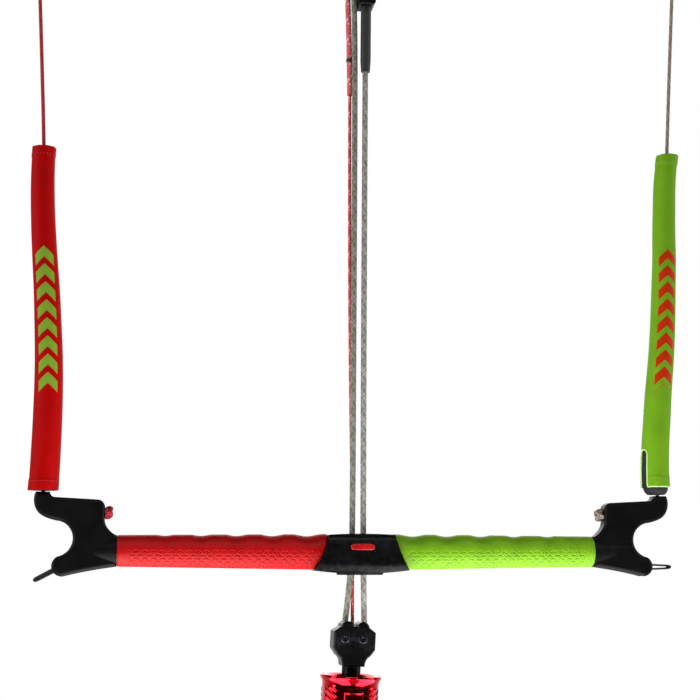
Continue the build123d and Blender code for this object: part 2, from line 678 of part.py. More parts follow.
def make_handle():
    """Push-away release handle: a flared sleeve that slides up over the collar against a spring."""
    with BuildPart() as handle:
        with BuildSketch(release_front()):
            with BuildLine():
                rim = ThreePointArc((HANDLE_RIM - 1.6, HANDLE_TOP), (HANDLE_RIM, HANDLE_TOP - 1.6),
                                    (HANDLE_RIM - 1.0, HANDLE_TOP - 3.6))
                waist = ThreePointArc(rim @ 1, (HANDLE_R + 0.2, HANDLE_TOP - 6.0),
                                      (HANDLE_R, HANDLE_TOP - 9.0))
                foot = ThreePointArc((HANDLE_R, HANDLE_LOW + 9), (HANDLE_R + 0.6, HANDLE_LOW + 4),
                                     (HANDLE_RIM, HANDLE_LOW))
                Line(waist @ 1, foot @ 0)
                Polyline(foot @ 1, (HANDLE_BORE, HANDLE_LOW), (HANDLE_BORE, LEDGE_H - 3),
                         (CORE_R + 1.0, LEDGE_H - 3), (CORE_R + 1.0, LEDGE_H), (HANDLE_BORE, LEDGE_H),
                         (HANDLE_BORE, HANDLE_TOP - 4), (HANDLE_RIM - 3.6, HANDLE_TOP), rim @ 0)
            make_face()
        revolve(axis=release_axis())
    save(handle.part, "release_handle")

    with BuildPart() as spring:
        pitch = (COLLAR_LOW - LEDGE_H - 2 * SPRING_WIRE - 0.4) / SPRING_TURNS
        for turn in range(SPRING_TURNS + 1):
            level = LEDGE_H + SPRING_WIRE + 0.2 + turn * pitch
            with Locations(release_plane(level)):
                Torus(SPRING_R, SPRING_WIRE)
    save(spring.part, "release_spring")


def make_harness_loop():
    """Stiff covered loop for the harness hook, and its locking finger."""
    loop_path = [(LOOP_EYE_X, LOOP_EYE_H - 14), (LOOP_SIDE, LOOP_EYE_H - 30), (LOOP_SIDE, LOOP_FOOT),
                 (-LOOP_SIDE, LOOP_FOOT), (-LOOP_SIDE, LOOP_EYE_H - 30), (-LOOP_EYE_X, LOOP_EYE_H - 14)]
    with BuildPart() as loop:
        with BuildLine(release_front()):
            route = FilletPolyline(*loop_path, radius=[16, LOOP_SIDE - 0.5, LOOP_SIDE - 0.5, 16])
        with BuildSketch(Plane(origin=route @ 0, z_dir=route % 0)):
            Circle(LOOP_ROD_R)
        sweep(path=route)
        with BuildSketch(release_front()):
            for side in (-1, 1):
                with BuildLine():
                    Polyline((side * LOOP_EYE_X, LOOP_EYE_H + 5), (side * (LOOP_EYE_X - 5), LOOP_EYE_H),
                             (side * (LOOP_EYE_X - 2), LOOP_EYE_H - 17),
                             (side * (LOOP_EYE_X + 6), LOOP_EYE_H - 17),
                             (side * (LOOP_EYE_X + 5), LOOP_EYE_H), close=True)
                make_face()
                with Locations((side * LOOP_EYE_X, LOOP_EYE_H)):
                    Circle(LOOP_EYE_R)
            with Locations((LOOP_EYE_X, LOOP_EYE_H)):
                Circle(LOOP_PIVOT_R + RUN_GAP, mode=Mode.SUBTRACT)
        extrude(amount=LOOP_EYE_HALF, both=True)
        with BuildSketch(release_front()):
            with Locations(((LOOP_SIDE + FINGER_X) / 2, FINGER_H)):
                Rectangle(FINGER_X - LOOP_SIDE, 2 * FINGER_LUG_R)
            with Locations((FINGER_X, FINGER_H)):
                Circle(FINGER_LUG_R)
                Circle(FINGER_PIN_R, mode=Mode.SUBTRACT)
        extrude(amount=FINGER_LUG_HALF, both=True)
    save(loop.part, "harness_loop")

    with BuildPart() as pin:
        with BuildSketch(release_front()):
            with Locations((FINGER_X, FINGER_H)):
                Circle(FINGER_PIN_R)
        extrude(amount=FINGER_EAR, both=True)
    save(pin.part, "finger_pin")

    with BuildPart() as finger:
        with BuildSketch(release_front()):
            with Locations((FINGER_X, FINGER_H)):
                Circle(FINGER_LUG_R + 0.6)
            with Locations((FINGER_X, FINGER_H - 5)):
                Rectangle(2 * FINGER_R, 10)
        extrude(amount=FINGER_EAR, both=True)
        with BuildSketch(release_front()):
            with Locations((FINGER_X, FINGER_H)):
                Rectangle(14, 15)
        extrude(amount=FINGER_LUG_HALF + 0.3, both=True, mode=Mode.SUBTRACT)
        with BuildSketch(release_plane(FINGER_H - 9)):
            with Locations((FINGER_X, 0)):
                Circle(FINGER_R)
        extrude(amount=-FINGER_LENGTH)
        fillet(finger.edges().sort_by(Axis.Z)[0], 3.0)
        with BuildSketch(release_front()):
            with Locations((FINGER_X, FINGER_H)):
                Circle(FINGER_PIN_R + RUN_GAP)
        extrude(amount=FINGER_EAR + 1, both=True, mode=Mode.SUBTRACT)
    save(finger.part, "loop_finger")


make_tube(-1, "bar_tube_left")
make_tube(1, "bar_tube_right")
make_grip(-1, "grip_left")
make_grip(1, "grip_right")
make_hub()
make_line_guide()
make_bar_end(-1, "bar_end_left")
make_bar_end(1, "bar_end_right")
make_loop_pins()
make_winder_loop(-1, 28, "winder_loop_left")
make_winder_loop(1, 0, "winder_loop_right")
make_leader_knot(-1, "leader_knot_left")
make_leader_knot(1, "leader_knot_right")

leader_left = cord("leader_left", LEADER_LEFT, LEADER_R)
leader_right = cord("leader_right", LEADER_RIGHT, LEADER_R)
depower_left = cord("depower_line_left", DEPOWER_LEFT, DEPOWER_R, sheave=SHEAVE_R - 0.02)
depower_right = cord("depower_line_right", DEPOWER_RIGHT, DEPOWER_R)
safety = cord("safety_line", SAFETY, SAFETY_R)
safety_fat = cord("safety_splice", SAFETY_UP, SAFETY_FAT_R)
save(leader_left, "leader_left")
save(leader_right, "leader_right")
save(depower_left, "depower_line_left")
save(depower_right, "depower_line_right")
save(safety, "safety_line")
save(safety_fat, "safety_splice")

make_float(FLOAT_LEFT, leader_left, 0.0, "left")
make_float(FLOAT_RIGHT, leader_right, COVER_LIFT, "right")
make_leader_loop(-287.2, 532, radians(-3.4), leader_left, "leader_loop_left")
make_leader_loop(298.6, 532, radians(3.8), leader_right, "leader_loop_right")
make_sleeve(depower_right)
make_cleat(depower_left)
make_pulley()
make_safety_top(safety_fat)
make_head([depower_left, depower_right, safety])
make_release()
make_handle()
make_harness_loop()

os.makedirs("parts", exist_ok=True)
for name, part in parts.items():
    export_step(part, f"parts/{name}.step")
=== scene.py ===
import math

import bpy
import numpy as np
from mathutils import Euler, Matrix, Vector


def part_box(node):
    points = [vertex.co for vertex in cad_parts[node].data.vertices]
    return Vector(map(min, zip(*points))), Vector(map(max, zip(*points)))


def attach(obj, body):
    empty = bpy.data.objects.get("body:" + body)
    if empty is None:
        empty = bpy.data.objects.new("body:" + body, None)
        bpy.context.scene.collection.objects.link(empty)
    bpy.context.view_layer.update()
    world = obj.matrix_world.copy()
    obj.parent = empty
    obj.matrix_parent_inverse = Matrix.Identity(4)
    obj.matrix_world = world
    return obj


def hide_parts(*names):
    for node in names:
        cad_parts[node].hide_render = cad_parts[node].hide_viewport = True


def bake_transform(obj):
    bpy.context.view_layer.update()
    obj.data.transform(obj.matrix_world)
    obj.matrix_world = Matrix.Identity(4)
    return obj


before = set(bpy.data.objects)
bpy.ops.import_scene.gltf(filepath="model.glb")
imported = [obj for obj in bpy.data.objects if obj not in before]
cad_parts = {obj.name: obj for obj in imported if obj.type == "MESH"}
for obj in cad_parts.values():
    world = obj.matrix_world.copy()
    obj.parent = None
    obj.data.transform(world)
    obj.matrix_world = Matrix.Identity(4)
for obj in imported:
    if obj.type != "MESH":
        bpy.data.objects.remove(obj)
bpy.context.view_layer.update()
MM = 0.001

# ==== Studio ==================================================================================
# The bar hangs over a plain pale floor in a white room that is dark in front. Two low softboxes
# throw light up on the undersides, and others fill the sides, the top and the back.
EYE = (-0.1866, -1.236, -0.0157)
EYE_TURN = (math.radians(98.67), 0.0, math.radians(-8.20))
EYE_LENS = 74.2
LOOP_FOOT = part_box("harness_loop")[0].z
FLOOR_LEVEL = LOOP_FOOT - 0.4           # clear of the loop when the bar is pushed right up its lines


def paint(red, green, blue):
    """Linear colour with full alpha from a screen colour of 0 to 255."""
    shares = [channel / 255 for channel in (red, green, blue)]
    return (*[s / 12.92 if s <= 0.04045 else ((s + 0.055) / 1.055) ** 2.4 for s in shares], 1.0)


def put(tree, kind, settings=None, values=(), **inputs):
    """Add a node to a finish; values go to its sockets in order, keywords to its sockets by name."""
    added = tree.nodes.new(kind)
    for key, value in (settings or {}).items():
        setattr(added, key, value)
    pairs = list(zip(added.inputs, values))
    pairs += [(added.inputs[key.replace("_", " ")], value) for key, value in inputs.items()]
    for socket, value in pairs:
        if isinstance(value, bpy.types.NodeSocket):
            tree.links.new(value, socket)
        elif value is not None:
            socket.default_value = value
    return added


def sum_of(tree, operation, *values):
    """Output of one maths node in a finish."""
    return put(tree, "ShaderNodeMath", {"operation": operation}, values).outputs[0]


def times(tree, value, factor):
    return sum_of(tree, "MULTIPLY", value, factor)


def softbox(name, place, aim, size, power):
    lamp = bpy.data.lights.new(name, "AREA")
    lamp.shape = "RECTANGLE"
    lamp.size, lamp.size_y = size
    lamp.energy = power
    holder = bpy.data.objects.new(name, lamp)
    holder.location = place
    holder.rotation_euler = (Vector(aim) - Vector(place)).to_track_quat("-Z", "Y").to_euler()
    holder.visible_camera = False
    bpy.context.scene.collection.objects.link(holder)


def set_studio():
    scene = bpy.context.scene
    scene.view_settings.view_transform = "Standard"
    scene.view_settings.look = "None"
    eye = bpy.data.cameras.new("eye")
    eye.lens = EYE_LENS
    eye.clip_start = 0.01
    holder = bpy.data.objects.new("eye", eye)
    holder.location = EYE
    holder.rotation_euler = Euler(EYE_TURN)
    scene.collection.objects.link(holder)
    scene.camera = holder

    room = bpy.data.worlds.new("white_room")
    room.use_nodes = True
    tree = room.node_tree
    tree.nodes.clear()
    way = put(tree, "ShaderNodeTexCoord").outputs["Generated"]
    rise = put(tree, "ShaderNodeSeparateXYZ", values=(way,)).outputs["Z"]
    behind = put(tree, "ShaderNodeSeparateXYZ", values=(way,)).outputs["Y"]
    slope = sum_of(tree, "SUBTRACT", times(tree, behind, 0.55), times(tree, rise, 0.6))
    dim = put(tree, "ShaderNodeMapRange", values=(slope, -0.15, 0.5, 0.03, 0.85)).outputs[0]
    seen = put(tree, "ShaderNodeLightPath").outputs["Is Camera Ray"]
    strength = put(tree, "ShaderNodeMix", values=(seen, None, dim, 1.0)).outputs[0]
    glow = put(tree, "ShaderNodeBackground", values=((1, 1, 1, 1), strength))
    put(tree, "ShaderNodeOutputWorld", values=(glow.outputs[0],))
    scene.world = room

    for side, across in (("left", -0.2), ("right", 0.2)):
        place = (across, -0.12, LOOP_FOOT + 0.0185)
        softbox(f"low_{side}_box", place, (across, 0, 0.1), (0.28, 0.5), 3.4)
    softbox("left_box", (-1.65, -0.35, 0.45), (-0.1, 0, 0.15), (0.5, 1.4), 20.0)
    softbox("right_box", (1.65, -0.25, 0.4), (0.1, 0, 0.15), (0.5, 1.4), 17.0)
    softbox("high_box", (0.0, -1.3, 1.7), (0, 0, 0.1), (1.6, 0.5), 14.0)
    softbox("back_box", (0.3, 1.6, 0.8), (0, 0, 0.1), (1.6, 1.2), 14.0)


set_studio()

bpy.ops.mesh.primitive_circle_add(vertices=96, radius=1.8, fill_type="NGON", location=(0, 0.1, FLOOR_LEVEL))
floor = bpy.context.object
floor.name = "studio_floor"
floor_paint = bpy.data.materials.new("pale_floor")
floor_paint.use_nodes = True
floor_shader = floor_paint.node_tree.nodes["Principled BSDF"]
floor_shader.inputs["Base Color"].default_value = (0.86, 0.86, 0.86, 1)
floor_shader.inputs["Roughness"].default_value = 0.7
floor.data.materials.append(floor_paint)


# ==== Steering leaders ========================================================================
# Two braided polyester cords run from a stopper knot inside each bar end, out of its neck and
# through the float to a pigtail for the kite's back line. The left one is crimson, the right grey.
LEADER_RADIUS = 1.6 * MM
LEADER_LEFT = [(-268, 0, 40.5), (-268, 0, 56), (-266.2, 0, 100), (-268, 0, 185), (-274.2, 0, 270),
               (-276.6, 0, 350), (-281.7, 0, 440), (-287.2, 0, 532)]
LEADER_RIGHT = [(268, 0, 40.5), (267.4, 0, 56), (267.8, 0, 100), (276.6, 0, 190), (281.2, 0, 270),
                (287.2, 0, 362), (292.8, 0, 450), (298.6, 0, 532)]
LEADER_LENGTHS = (0.4921, 0.4926)


def lie_of(route, step):
    """Evenly spaced points, in metres, along the smooth line that a route's points (mm) steer."""
    curve = bpy.data.curves.new("route", "CURVE")
    curve.dimensions = "3D"
    curve.resolution_u = 32
    spline = curve.splines.new("NURBS")
    spline.points.add(len(route) - 1)
    for point, place in zip(spline.points, route):
        point.co = (*(Vector(place) * MM), 1.0)
    spline.order_u = 3
    spline.use_endpoint_u = True
    holder = bpy.data.objects.new("route", curve)
    drawn = bpy.data.meshes.new_from_object(holder)
    line = np.array([vertex.co for vertex in drawn.vertices])
    bpy.data.meshes.remove(drawn)
    bpy.data.objects.remove(holder)
    bpy.data.curves.remove(curve)
    return evened(line, step)


def evened(line, step):
    """The same line with its points a constant step apart."""
    run = np.concatenate([[0], np.cumsum(np.linalg.norm(np.diff(line, axis=0), axis=1))])
    stops = np.linspace(0, run[-1], max(2, round(run[-1] / step) + 1))
    return np.stack([np.interp(stops, run, line[:, axis]) for axis in range(3)], 1)


def square_to(line, closed=False):
    """Side and rise directions square to a line at each of its points, with as little twist as can be."""
    if closed:
        heading = np.roll(line, -1, axis=0) - np.roll(line, 1, axis=0)
    else:
        heading = np.gradient(line, axis=0)
    heading /= np.linalg.norm(heading, axis=1)[:, None]
    side = np.cross(heading[0], (0.0, 1.0, 0.0))
    if np.linalg.norm(side) < 0.1:
        side = np.cross(heading[0], (1.0, 0.0, 0.0))
    sides = []
    for forward in heading:
        side = side - forward * (side @ forward)
        side = side / np.linalg.norm(side)
        sides.append(side)
    sides = np.array(sides)
    return sides, np.cross(heading, sides)


def round_turn(count):
    """Evenly spaced angles once round, without the last."""
    return np.linspace(0, 2 * np.pi, count, endpoint=False)


def rod(line, radius, around, closed=False):
    """Rings of points square to a line; radius may differ at each of them."""
    sides, rises = square_to(line, closed)
    turn = round_turn(around)
    return line[:, None, :] + radius * (np.cos(turn)[None, :, None] * sides[:, None, :]
                                        + np.sin(turn)[None, :, None] * rises[:, None, :])


def skin(name, rings, across, along, capped=True, looped=False):
    """Mesh over rings of points, each ring closed. Its UVs run across and along the piece in metres."""
    rings = np.asarray(rings, float)
    count, around = rings.shape[:2]
    rows = count if looped else count - 1
    row, column = np.meshgrid(np.arange(rows), np.arange(around), indexing="ij")
    after, beside = (row + 1) % count, (column + 1) % around
    quads = np.stack([row * around + column, row * around + beside,
                      after * around + beside, after * around + column], -1).reshape(-1, 4)
    places = rings.reshape(-1, 3)
    one, two, three = (places[quads[:, k]] for k in range(3))
    middle = places.mean(0)
    outward = np.einsum("ij,ij->", one - middle, np.cross(two - one, three - two)) > 0
    across = np.broadcast_to(across, (count, around + 1))
    along = np.append(along, 2 * along[-1] - along[-2])
    corners = np.stack([
        np.stack([across[row, column], along[row]], -1),
        np.stack([across[row, column + 1], along[row]], -1),
        np.stack([across[row, column + 1], along[row + 1]], -1),
        np.stack([across[row, column], along[row + 1]], -1)], 2).reshape(-1, 4, 2)
    if not outward:
        quads, corners = quads[:, ::-1], corners[:, ::-1]
    faces = quads.tolist()
    corners = corners.reshape(-1, 2)
    if capped and not looped:
        low, high = list(range(around)), list(range((count - 1) * around, count * around))
        faces += [low[::-1], high] if outward else [low, high[::-1]]
        corners = np.concatenate([corners, np.zeros((2 * around, 2))])
    mesh = bpy.data.meshes.new(name)
    mesh.from_pydata(places.tolist(), [], faces)
    mesh.uv_layers.new(name="run").data.foreach_set("uv", corners.ravel().astype(np.float32))
    mesh.polygons.foreach_set("use_smooth", [True] * len(faces))
    mesh.update()
    return mesh


def fit_piece(name, mesh, body, finish, slot, *stands_for):
    """Put a finished piece on its body, with its material and the CAD nodes that it stands for."""
    piece = bpy.data.objects.new(name, mesh)
    bpy.context.scene.collection.objects.link(piece)
    mesh.materials.append(finish)
    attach(piece, body)
    if stands_for:
        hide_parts(*stands_for)
    return piece


def braid(name, line, radius, carriers, cell, relief, around, closed=False):
    """Braided skin along a line. Carriers wind both ways round and pass over and under each other."""
    run = np.concatenate([[0], np.cumsum(np.linalg.norm(np.diff(line, axis=0), axis=1))])
    if closed:
        gap = np.linalg.norm(line[0] - line[-1])
        cell = (run[-1] + gap) / (2 * round((run[-1] + gap) / cell / 2))
    wound = carriers * round_turn(around)[None, :] / (2 * np.pi)
    travelled = run[:, None] / cell
    one_way, other_way = wound + travelled, wound - travelled
    over = (np.floor(one_way) + np.floor(other_way)) % 2 == 0
    one_share = 2 * (one_way % 1) - 1
    other_share = 2 * (other_way % 1) - 1
    flank = np.where(over, one_share, other_share)
    length = np.where(over, other_share, one_share)
    height = np.sqrt(1 - 0.8 * flank ** 2) * (1 - 0.4 * length ** 2)
    rings = rod(line, radius * (1.06 - relief + relief * height)[:, :, None], around, closed)
    return skin(name, rings, np.linspace(0, 1, around + 1), run, looped=closed)


def make_group(name, wanted, given):
    """Empty node group with its named inputs (name, start value) and outputs."""
    group = bpy.data.node_groups.new(name, "ShaderNodeTree")
    for label, start in wanted:
        kind = "NodeSocketColor" if isinstance(start, tuple) else "NodeSocketFloat"
        group.interface.new_socket(label, in_out="INPUT", socket_type=kind).default_value = start
    for label, kind in given:
        group.interface.new_socket(label, in_out="OUTPUT", socket_type=kind)
    return group, group.nodes.new("NodeGroupInput").outputs, group.nodes.new("NodeGroupOutput").inputs


def make_braid_yarns():
    """Yarn tones of a braid: each carrier has its own tone, and a mask where two carriers meet gives painted
    shade in the crevices.
    """
    group, wanted, given = make_group(
        "braid_yarns", [("Carriers", 6.0), ("Cell", 3.0 * MM), ("Twist", 60.0)],
        [("Tone", "NodeSocketFloat"), ("Crevice", "NodeSocketFloat"), ("Fibre", "NodeSocketFloat")])
    spot = put(group, "ShaderNodeSeparateXYZ", values=(put(group, "ShaderNodeUVMap").outputs[0],))
    wound = times(group, spot.outputs["X"], wanted["Carriers"])
    travelled = sum_of(group, "DIVIDE", spot.outputs["Y"], wanted["Cell"])
    one_way, other_way = (sum_of(group, how, wound, travelled) for how in ("ADD", "SUBTRACT"))
    steps = sum_of(group, "ADD", sum_of(group, "FLOOR", one_way), sum_of(group, "FLOOR", other_way))
    over = sum_of(group, "FLOORED_MODULO", steps, 2.0)
    edge_one = sum_of(group, "PINGPONG", one_way, 0.5)
    edge_other = sum_of(group, "PINGPONG", other_way, 0.5)
    number = put(group, "ShaderNodeMix", values=(over, None, sum_of(group, "FLOOR", one_way),
                                                 sum_of(group, "FLOOR", other_way))).outputs[0]
    carrier = sum_of(group, "FLOORED_MODULO", number, wanted["Carriers"])
    scatter = put(group, "ShaderNodeTexWhiteNoise", {"noise_dimensions": "1D"},
                  W=sum_of(group, "ADD", carrier, times(group, over, 31.0)))
    group.links.new(scatter.outputs["Value"], given["Tone"])
    nearest = sum_of(group, "MINIMUM", edge_one, edge_other)
    crevice_shade = put(group, "ShaderNodeMapRange", values=(nearest, 0.0, 0.16, 1.0, 0.0)).outputs[0]
    group.links.new(crevice_shade, given["Crevice"])
    lay = put(group, "ShaderNodeMix", values=(over, None, other_way, one_way)).outputs[0]
    fibre = put(group, "ShaderNodeTexNoise", {"noise_dimensions": "1D"},
                W=times(group, lay, wanted["Twist"]), Scale=1.0, Detail=2.0)
    group.links.new(fibre.outputs["Fac"], given["Fibre"])
    return group


braid_yarns = make_braid_yarns()


def start_finish(name, **constants):
    """New finish with its shader's fixed values set on the shader itself."""
    finish = bpy.data.materials.new(name)
    finish.use_nodes = True
    shader = finish.node_tree.nodes["Principled BSDF"]
    for label, value in constants.items():
        shader.inputs[label.replace("_", " ")].default_value = value
    return finish, finish.node_tree, shader.inputs


def blend_colours(tree, share, low, high, mode="MIX"):
    """Mix of two colours, each given as a colour or as an output."""
    mixed = put(tree, "ShaderNodeMix", {"data_type": "RGBA", "blend_type": mode})
    for socket, value in zip((mixed.inputs[0], mixed.inputs[6], mixed.inputs[7]), (share, low, high)):
        if isinstance(value, bpy.types.NodeSocket):
            tree.links.new(value, socket)
        else:
            socket.default_value = value
    return mixed.outputs[2]


def spread(tree, value, low, high, start, end):
    """A value carried from one range to another."""
    return put(tree, "ShaderNodeMapRange", values=(value, low, high, start, end)).outputs[0]


def wire(tree, sockets, colour, rough, height=None, strength=0.0, deep=0.0):
    """Join a finish's varying colour, roughness and bump to its shader."""
    tree.links.new(colour, sockets["Base Color"])
    tree.links.new(rough, sockets["Roughness"])
    if height is not None:
        bump = put(tree, "ShaderNodeBump", Height=height, Strength=strength, Distance=deep)
        tree.links.new(bump.outputs[0], sockets["Normal"])


def paler(colour, factor, more=0.0):
    """A colour scaled by a factor, darker below 1, plus an added amount; full alpha."""
    return (*[channel * factor + more for channel in colour[:3]], 1.0)


def shared(tree, group, *values):
    """Outputs of a shared node group used in a finish."""
    return put(tree, "ShaderNodeGroup", {"node_tree": group}, values).outputs


def place_in(tree):
    """A point's own place on the piece, for patterns that are fixed in the material."""
    return put(tree, "ShaderNodeTexCoord").outputs["Object"]


def noise_at(tree, place, scale, detail):
    return put(tree, "ShaderNodeTexNoise", Vector=place, Scale=scale, Detail=detail).outputs["Fac"]


def rope_finish(name, dark, light, fleck, fleck_share, carriers, cell):
    """Braided polyester: dull yarns in two shades, a tracer yarn of another colour, and painted shade
    darkening the crevices.
    """
    finish, tree, sockets = start_finish(name, Specular_IOR_Level=0.2)
    yarns = shared(tree, braid_yarns, carriers, cell, 40.0)
    worn = noise_at(tree, place_in(tree), 160.0, 4.0)
    shade = sum_of(tree, "ADD", times(tree, yarns["Tone"], 0.6), times(tree, worn, 0.5))
    tracer = sum_of(tree, "LESS_THAN", yarns["Tone"], fleck_share)
    marked = blend_colours(tree, tracer, blend_colours(tree, shade, dark, light), fleck)
    # Painted shade: the yarn colour is darkened where two carriers meet.
    crevice_shade = times(tree, yarns["Crevice"], 0.75)
    wire(tree, sockets, blend_colours(tree, crevice_shade, marked, (0.12, 0.1, 0.1, 1), "MULTIPLY"),
         spread(tree, yarns["Fibre"], 0.2, 0.8, 0.5, 0.8), yarns["Fibre"], 0.35, 0.15 * MM)
    return finish


LEADER_CELL = 2.6 * MM
crimson_leader = rope_finish("crimson_leader", paint(128, 20, 28), paint(200, 52, 60),
                             paint(160, 44, 48), 0.1, 6, LEADER_CELL)
taupe_leader = rope_finish("taupe_leader", paint(112, 102, 92), paint(168, 158, 144),
                           paint(120, 96, 84), 0.15, 6, LEADER_CELL)


def make_pigtail(side_name, end, lean, finish):
    """Stopper knot and small eye at the top of a leader, tied in the leader's own cord."""
    turn = round_turn(90)
    across, height = 4.3 * MM * np.sin(turn), (16.6 - 12.6 * np.cos(turn)) * MM
    across *= 0.62 + 0.38 * np.sin(np.clip(height / (30 * MM), 0, 1) * np.pi)
    eye = np.stack([across * math.cos(lean) + height * math.sin(lean), 0 * turn,
                    height * math.cos(lean) - across * math.sin(lean)], 1) + np.array(end)
    loop = fit_piece(f"pigtail_eye_{side_name}", braid(f"pigtail_eye_{side_name}", eye, 1.45 * MM, 6,
                                                       LEADER_CELL, 0.3, 30, closed=True),
                     f"leader_set_{side_name}", finish, finish_slots[side_name],
                     f"leader_loop_{side_name}")
    knot = fit_piece(f"pigtail_knot_{side_name}", stopper_knot(f"pigtail_knot_{side_name}", end, 4.4 * MM,
                                                              1.5 * MM, Matrix.Identity(3)),
                     f"leader_set_{side_name}", finish, finish_slots[side_name])
    return loop, knot


def stopper_knot(name, middle, reach, cord_radius, turned):
    """Overhand knot pulled tight, as one closed braided line wound round itself."""
    turn = round_turn(150)
    shape = np.stack([np.sin(turn) + 2 * np.sin(2 * turn), np.cos(turn) - 2 * np.cos(2 * turn),
                      -1.5 * np.sin(3 * turn)], 1) / 3.0
    scale = reach - cord_radius
    line = (shape * scale) @ np.array(turned).T + np.array(middle)
    return braid(name, line, cord_radius, 6, LEADER_CELL, 0.3, 26, closed=True)


finish_slots = {"left": "red_leader", "right": "grey_leader"}
for side_name, route, length, finish in (("left", LEADER_LEFT, LEADER_LENGTHS[0], crimson_leader),
                                         ("right", LEADER_RIGHT, LEADER_LENGTHS[1], taupe_leader)):
    line = lie_of(route, 0.7 * MM)
    leader = fit_piece(f"leader_cord_{side_name}",
                       braid(f"leader_cord_{side_name}", line, LEADER_RADIUS, 6, LEADER_CELL, 0.28, 30),
                       f"leader_set_{side_name}", finish, finish_slots[side_name], f"leader_{side_name}")
    lean = math.atan2(route[-1][0] - route[-2][0], route[-1][2] - route[-2][2])
    pigtail = make_pigtail(side_name, Vector(route[-1]) * MM, lean, finish)
    knot_place = Vector((math.copysign(213.6, route[0][0]), 0, 32.0)) * MM
    fit_piece(f"stopper_knot_{side_name}",
              stopper_knot(f"stopper_knot_{side_name}", knot_place, 6.0 * MM, 1.9 * MM,
                           Matrix.Rotation(math.radians(90), 3, "Y")),
              "bar", finish, finish_slots[side_name], f"leader_knot_{side_name}")


# ==== Depower and safety lines ================================================================
# One grey braided rope comes up from the release head, rounds the trim pulley and drops into the
# cleat; the second goes up into the cleat's sleeve. A thin red line behind them is the safety.
DEPOWER_RADIUS = 2.5 * MM
SAFETY_RADIUS = 1.5 * MM
DEPOWER_LEFT = [(-13.6, 0, -66), (-7.6, 0, -20), (-6.3, 0, 22), (-5.2, 0, 200), (-3.8, 0, 430),
                (-4.6, 0, 500), (-7.8, 0, 548), (-7.8, 0, 573.8), (7.8, 0, 573.8), (7.8, 0, 522)]
DEPOWER_RIGHT = [(3.9, 0, -66), (3.1, 0, -20), (3.0, 0, 22), (3.9, 0, 215), (5.5, 0, 431)]
SAFETY = [(-5.9, 4.2, -66), (-5.6, 4.3, -20), (-5.8, 4.6, 30), (-8.0, 4.5, 190), (-8.3, 4.3, 330),
          (-8.0, 4.4, 408)]
SAFETY_UP = [(-8.0, 4.4, 408), (-8.3, 5.0, 460), (-10.2, 7.4, 522)]
DEPOWER_CELL = 3.6 * MM
SAFETY_CELL = 2.4 * MM
SPLICE_RADIUS, SPLICE_CELL = 2.5 * MM, 3.2 * MM

grey_rope = rope_finish("grey_rope", paint(50, 49, 47), paint(164, 161, 152), paint(96, 110, 74), 0.14,
                        6, DEPOWER_CELL)
grey_rope_plain = rope_finish("grey_rope_plain", paint(62, 60, 58), paint(188, 185, 178),
                              paint(120, 112, 100), 0.1, 6, DEPOWER_CELL)
red_safety = rope_finish("red_safety", paint(156, 36, 42), paint(222, 88, 92), paint(240, 170, 168), 0.14,
                         6, SAFETY_CELL)
red_splice = rope_finish("red_safety_splice", paint(186, 56, 62), paint(244, 122, 126), paint(246, 186, 184),
                         0.14, 6, SPLICE_CELL)


def lay_rope(name, route, radius, cell, around, finish, slot, node, pieces=()):
    """One taut rope of the trim, braided along its route."""
    line = lie_of(route, 0.8 * MM)
    rope = fit_piece(name, braid(name, line, radius, 6, cell, 0.26, around), "trim_lines", finish, slot, node)
    return rope


def make_safety_head():
    """Ring knot and eye at the top of the safety line."""
    low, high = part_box("safety_end_loop")
    middle = (low + high) / 2
    turn = np.linspace(0, 2 * np.pi, 90, endpoint=False)
    ring_z = 533.5 * MM
    ring = np.stack([middle.x + 7.4 * MM * np.cos(turn), middle.y + 0 * turn,
                     ring_z + 7.4 * MM * np.sin(turn)], 1)
    eye = fit_piece("safety_eye", braid("safety_eye", ring, 1.8 * MM, 6, SAFETY_CELL, 0.28, 30, closed=True),
                    "trim_lines", red_safety, "safety_red", "safety_end_loop")
    knot = fit_piece("safety_knot", stopper_knot("safety_knot", (-10.6 * MM, 7.4 * MM, ring_z - 10.5 * MM),
                                                 4.0 * MM, 1.5 * MM, Matrix.Identity(3)),
                     "trim_lines", red_safety, "safety_red")
    return eye, knot


lay_rope("depower_rope_left", DEPOWER_LEFT, DEPOWER_RADIUS, DEPOWER_CELL, 36, grey_rope,
         "grey_rope", "depower_line_left")
lay_rope("depower_rope_right", DEPOWER_RIGHT, DEPOWER_RADIUS, DEPOWER_CELL, 36, grey_rope_plain,
         "grey_rope", "depower_line_right")
lay_rope("safety_rope", SAFETY, SAFETY_RADIUS, SAFETY_CELL, 30, red_safety, "safety_red",
         "safety_line")
lay_rope("safety_splice_rope", SAFETY_UP, SPLICE_RADIUS, SPLICE_CELL, 36, red_splice, "safety_red",
         "safety_splice", make_safety_head())


# ==== Floats ==================================================================================
# Each leader carries a round foam float so that the bar floats and its lines stay clear of it.
# The foam is closed-cell and black; a printed cloth sleeve is sewn shut along the back, hemmed at
# both ends and pulled over it. The green sleeve has a vent slit at its lower front edge.
FLOAT_LEFT = [(-268.4, 50.4, 12.4), (-266.2, 102, 12.3), (-268.1, 186, 11.5), (-274.4, 271, 10.5),
              (-276.4, 346, 9.9)]
FLOAT_RIGHT = [(266.4, 50.4, 12.3), (269, 115, 12.1), (277.3, 198, 11.3), (281.5, 280, 10.5),
               (287.4, 362, 9.8)]
SLEEVE_WALL = 0.8 * MM
HEM = 9.0 * MM
STITCH_PITCH = 3.0 * MM
BAR_PITCH, BAR_HALF = 15.5 * MM, 8.4 * MM
FLOAT_AROUND = 144
SLIT_HALF = 4.9 * MM
SLIT_TURN = math.radians(-166)


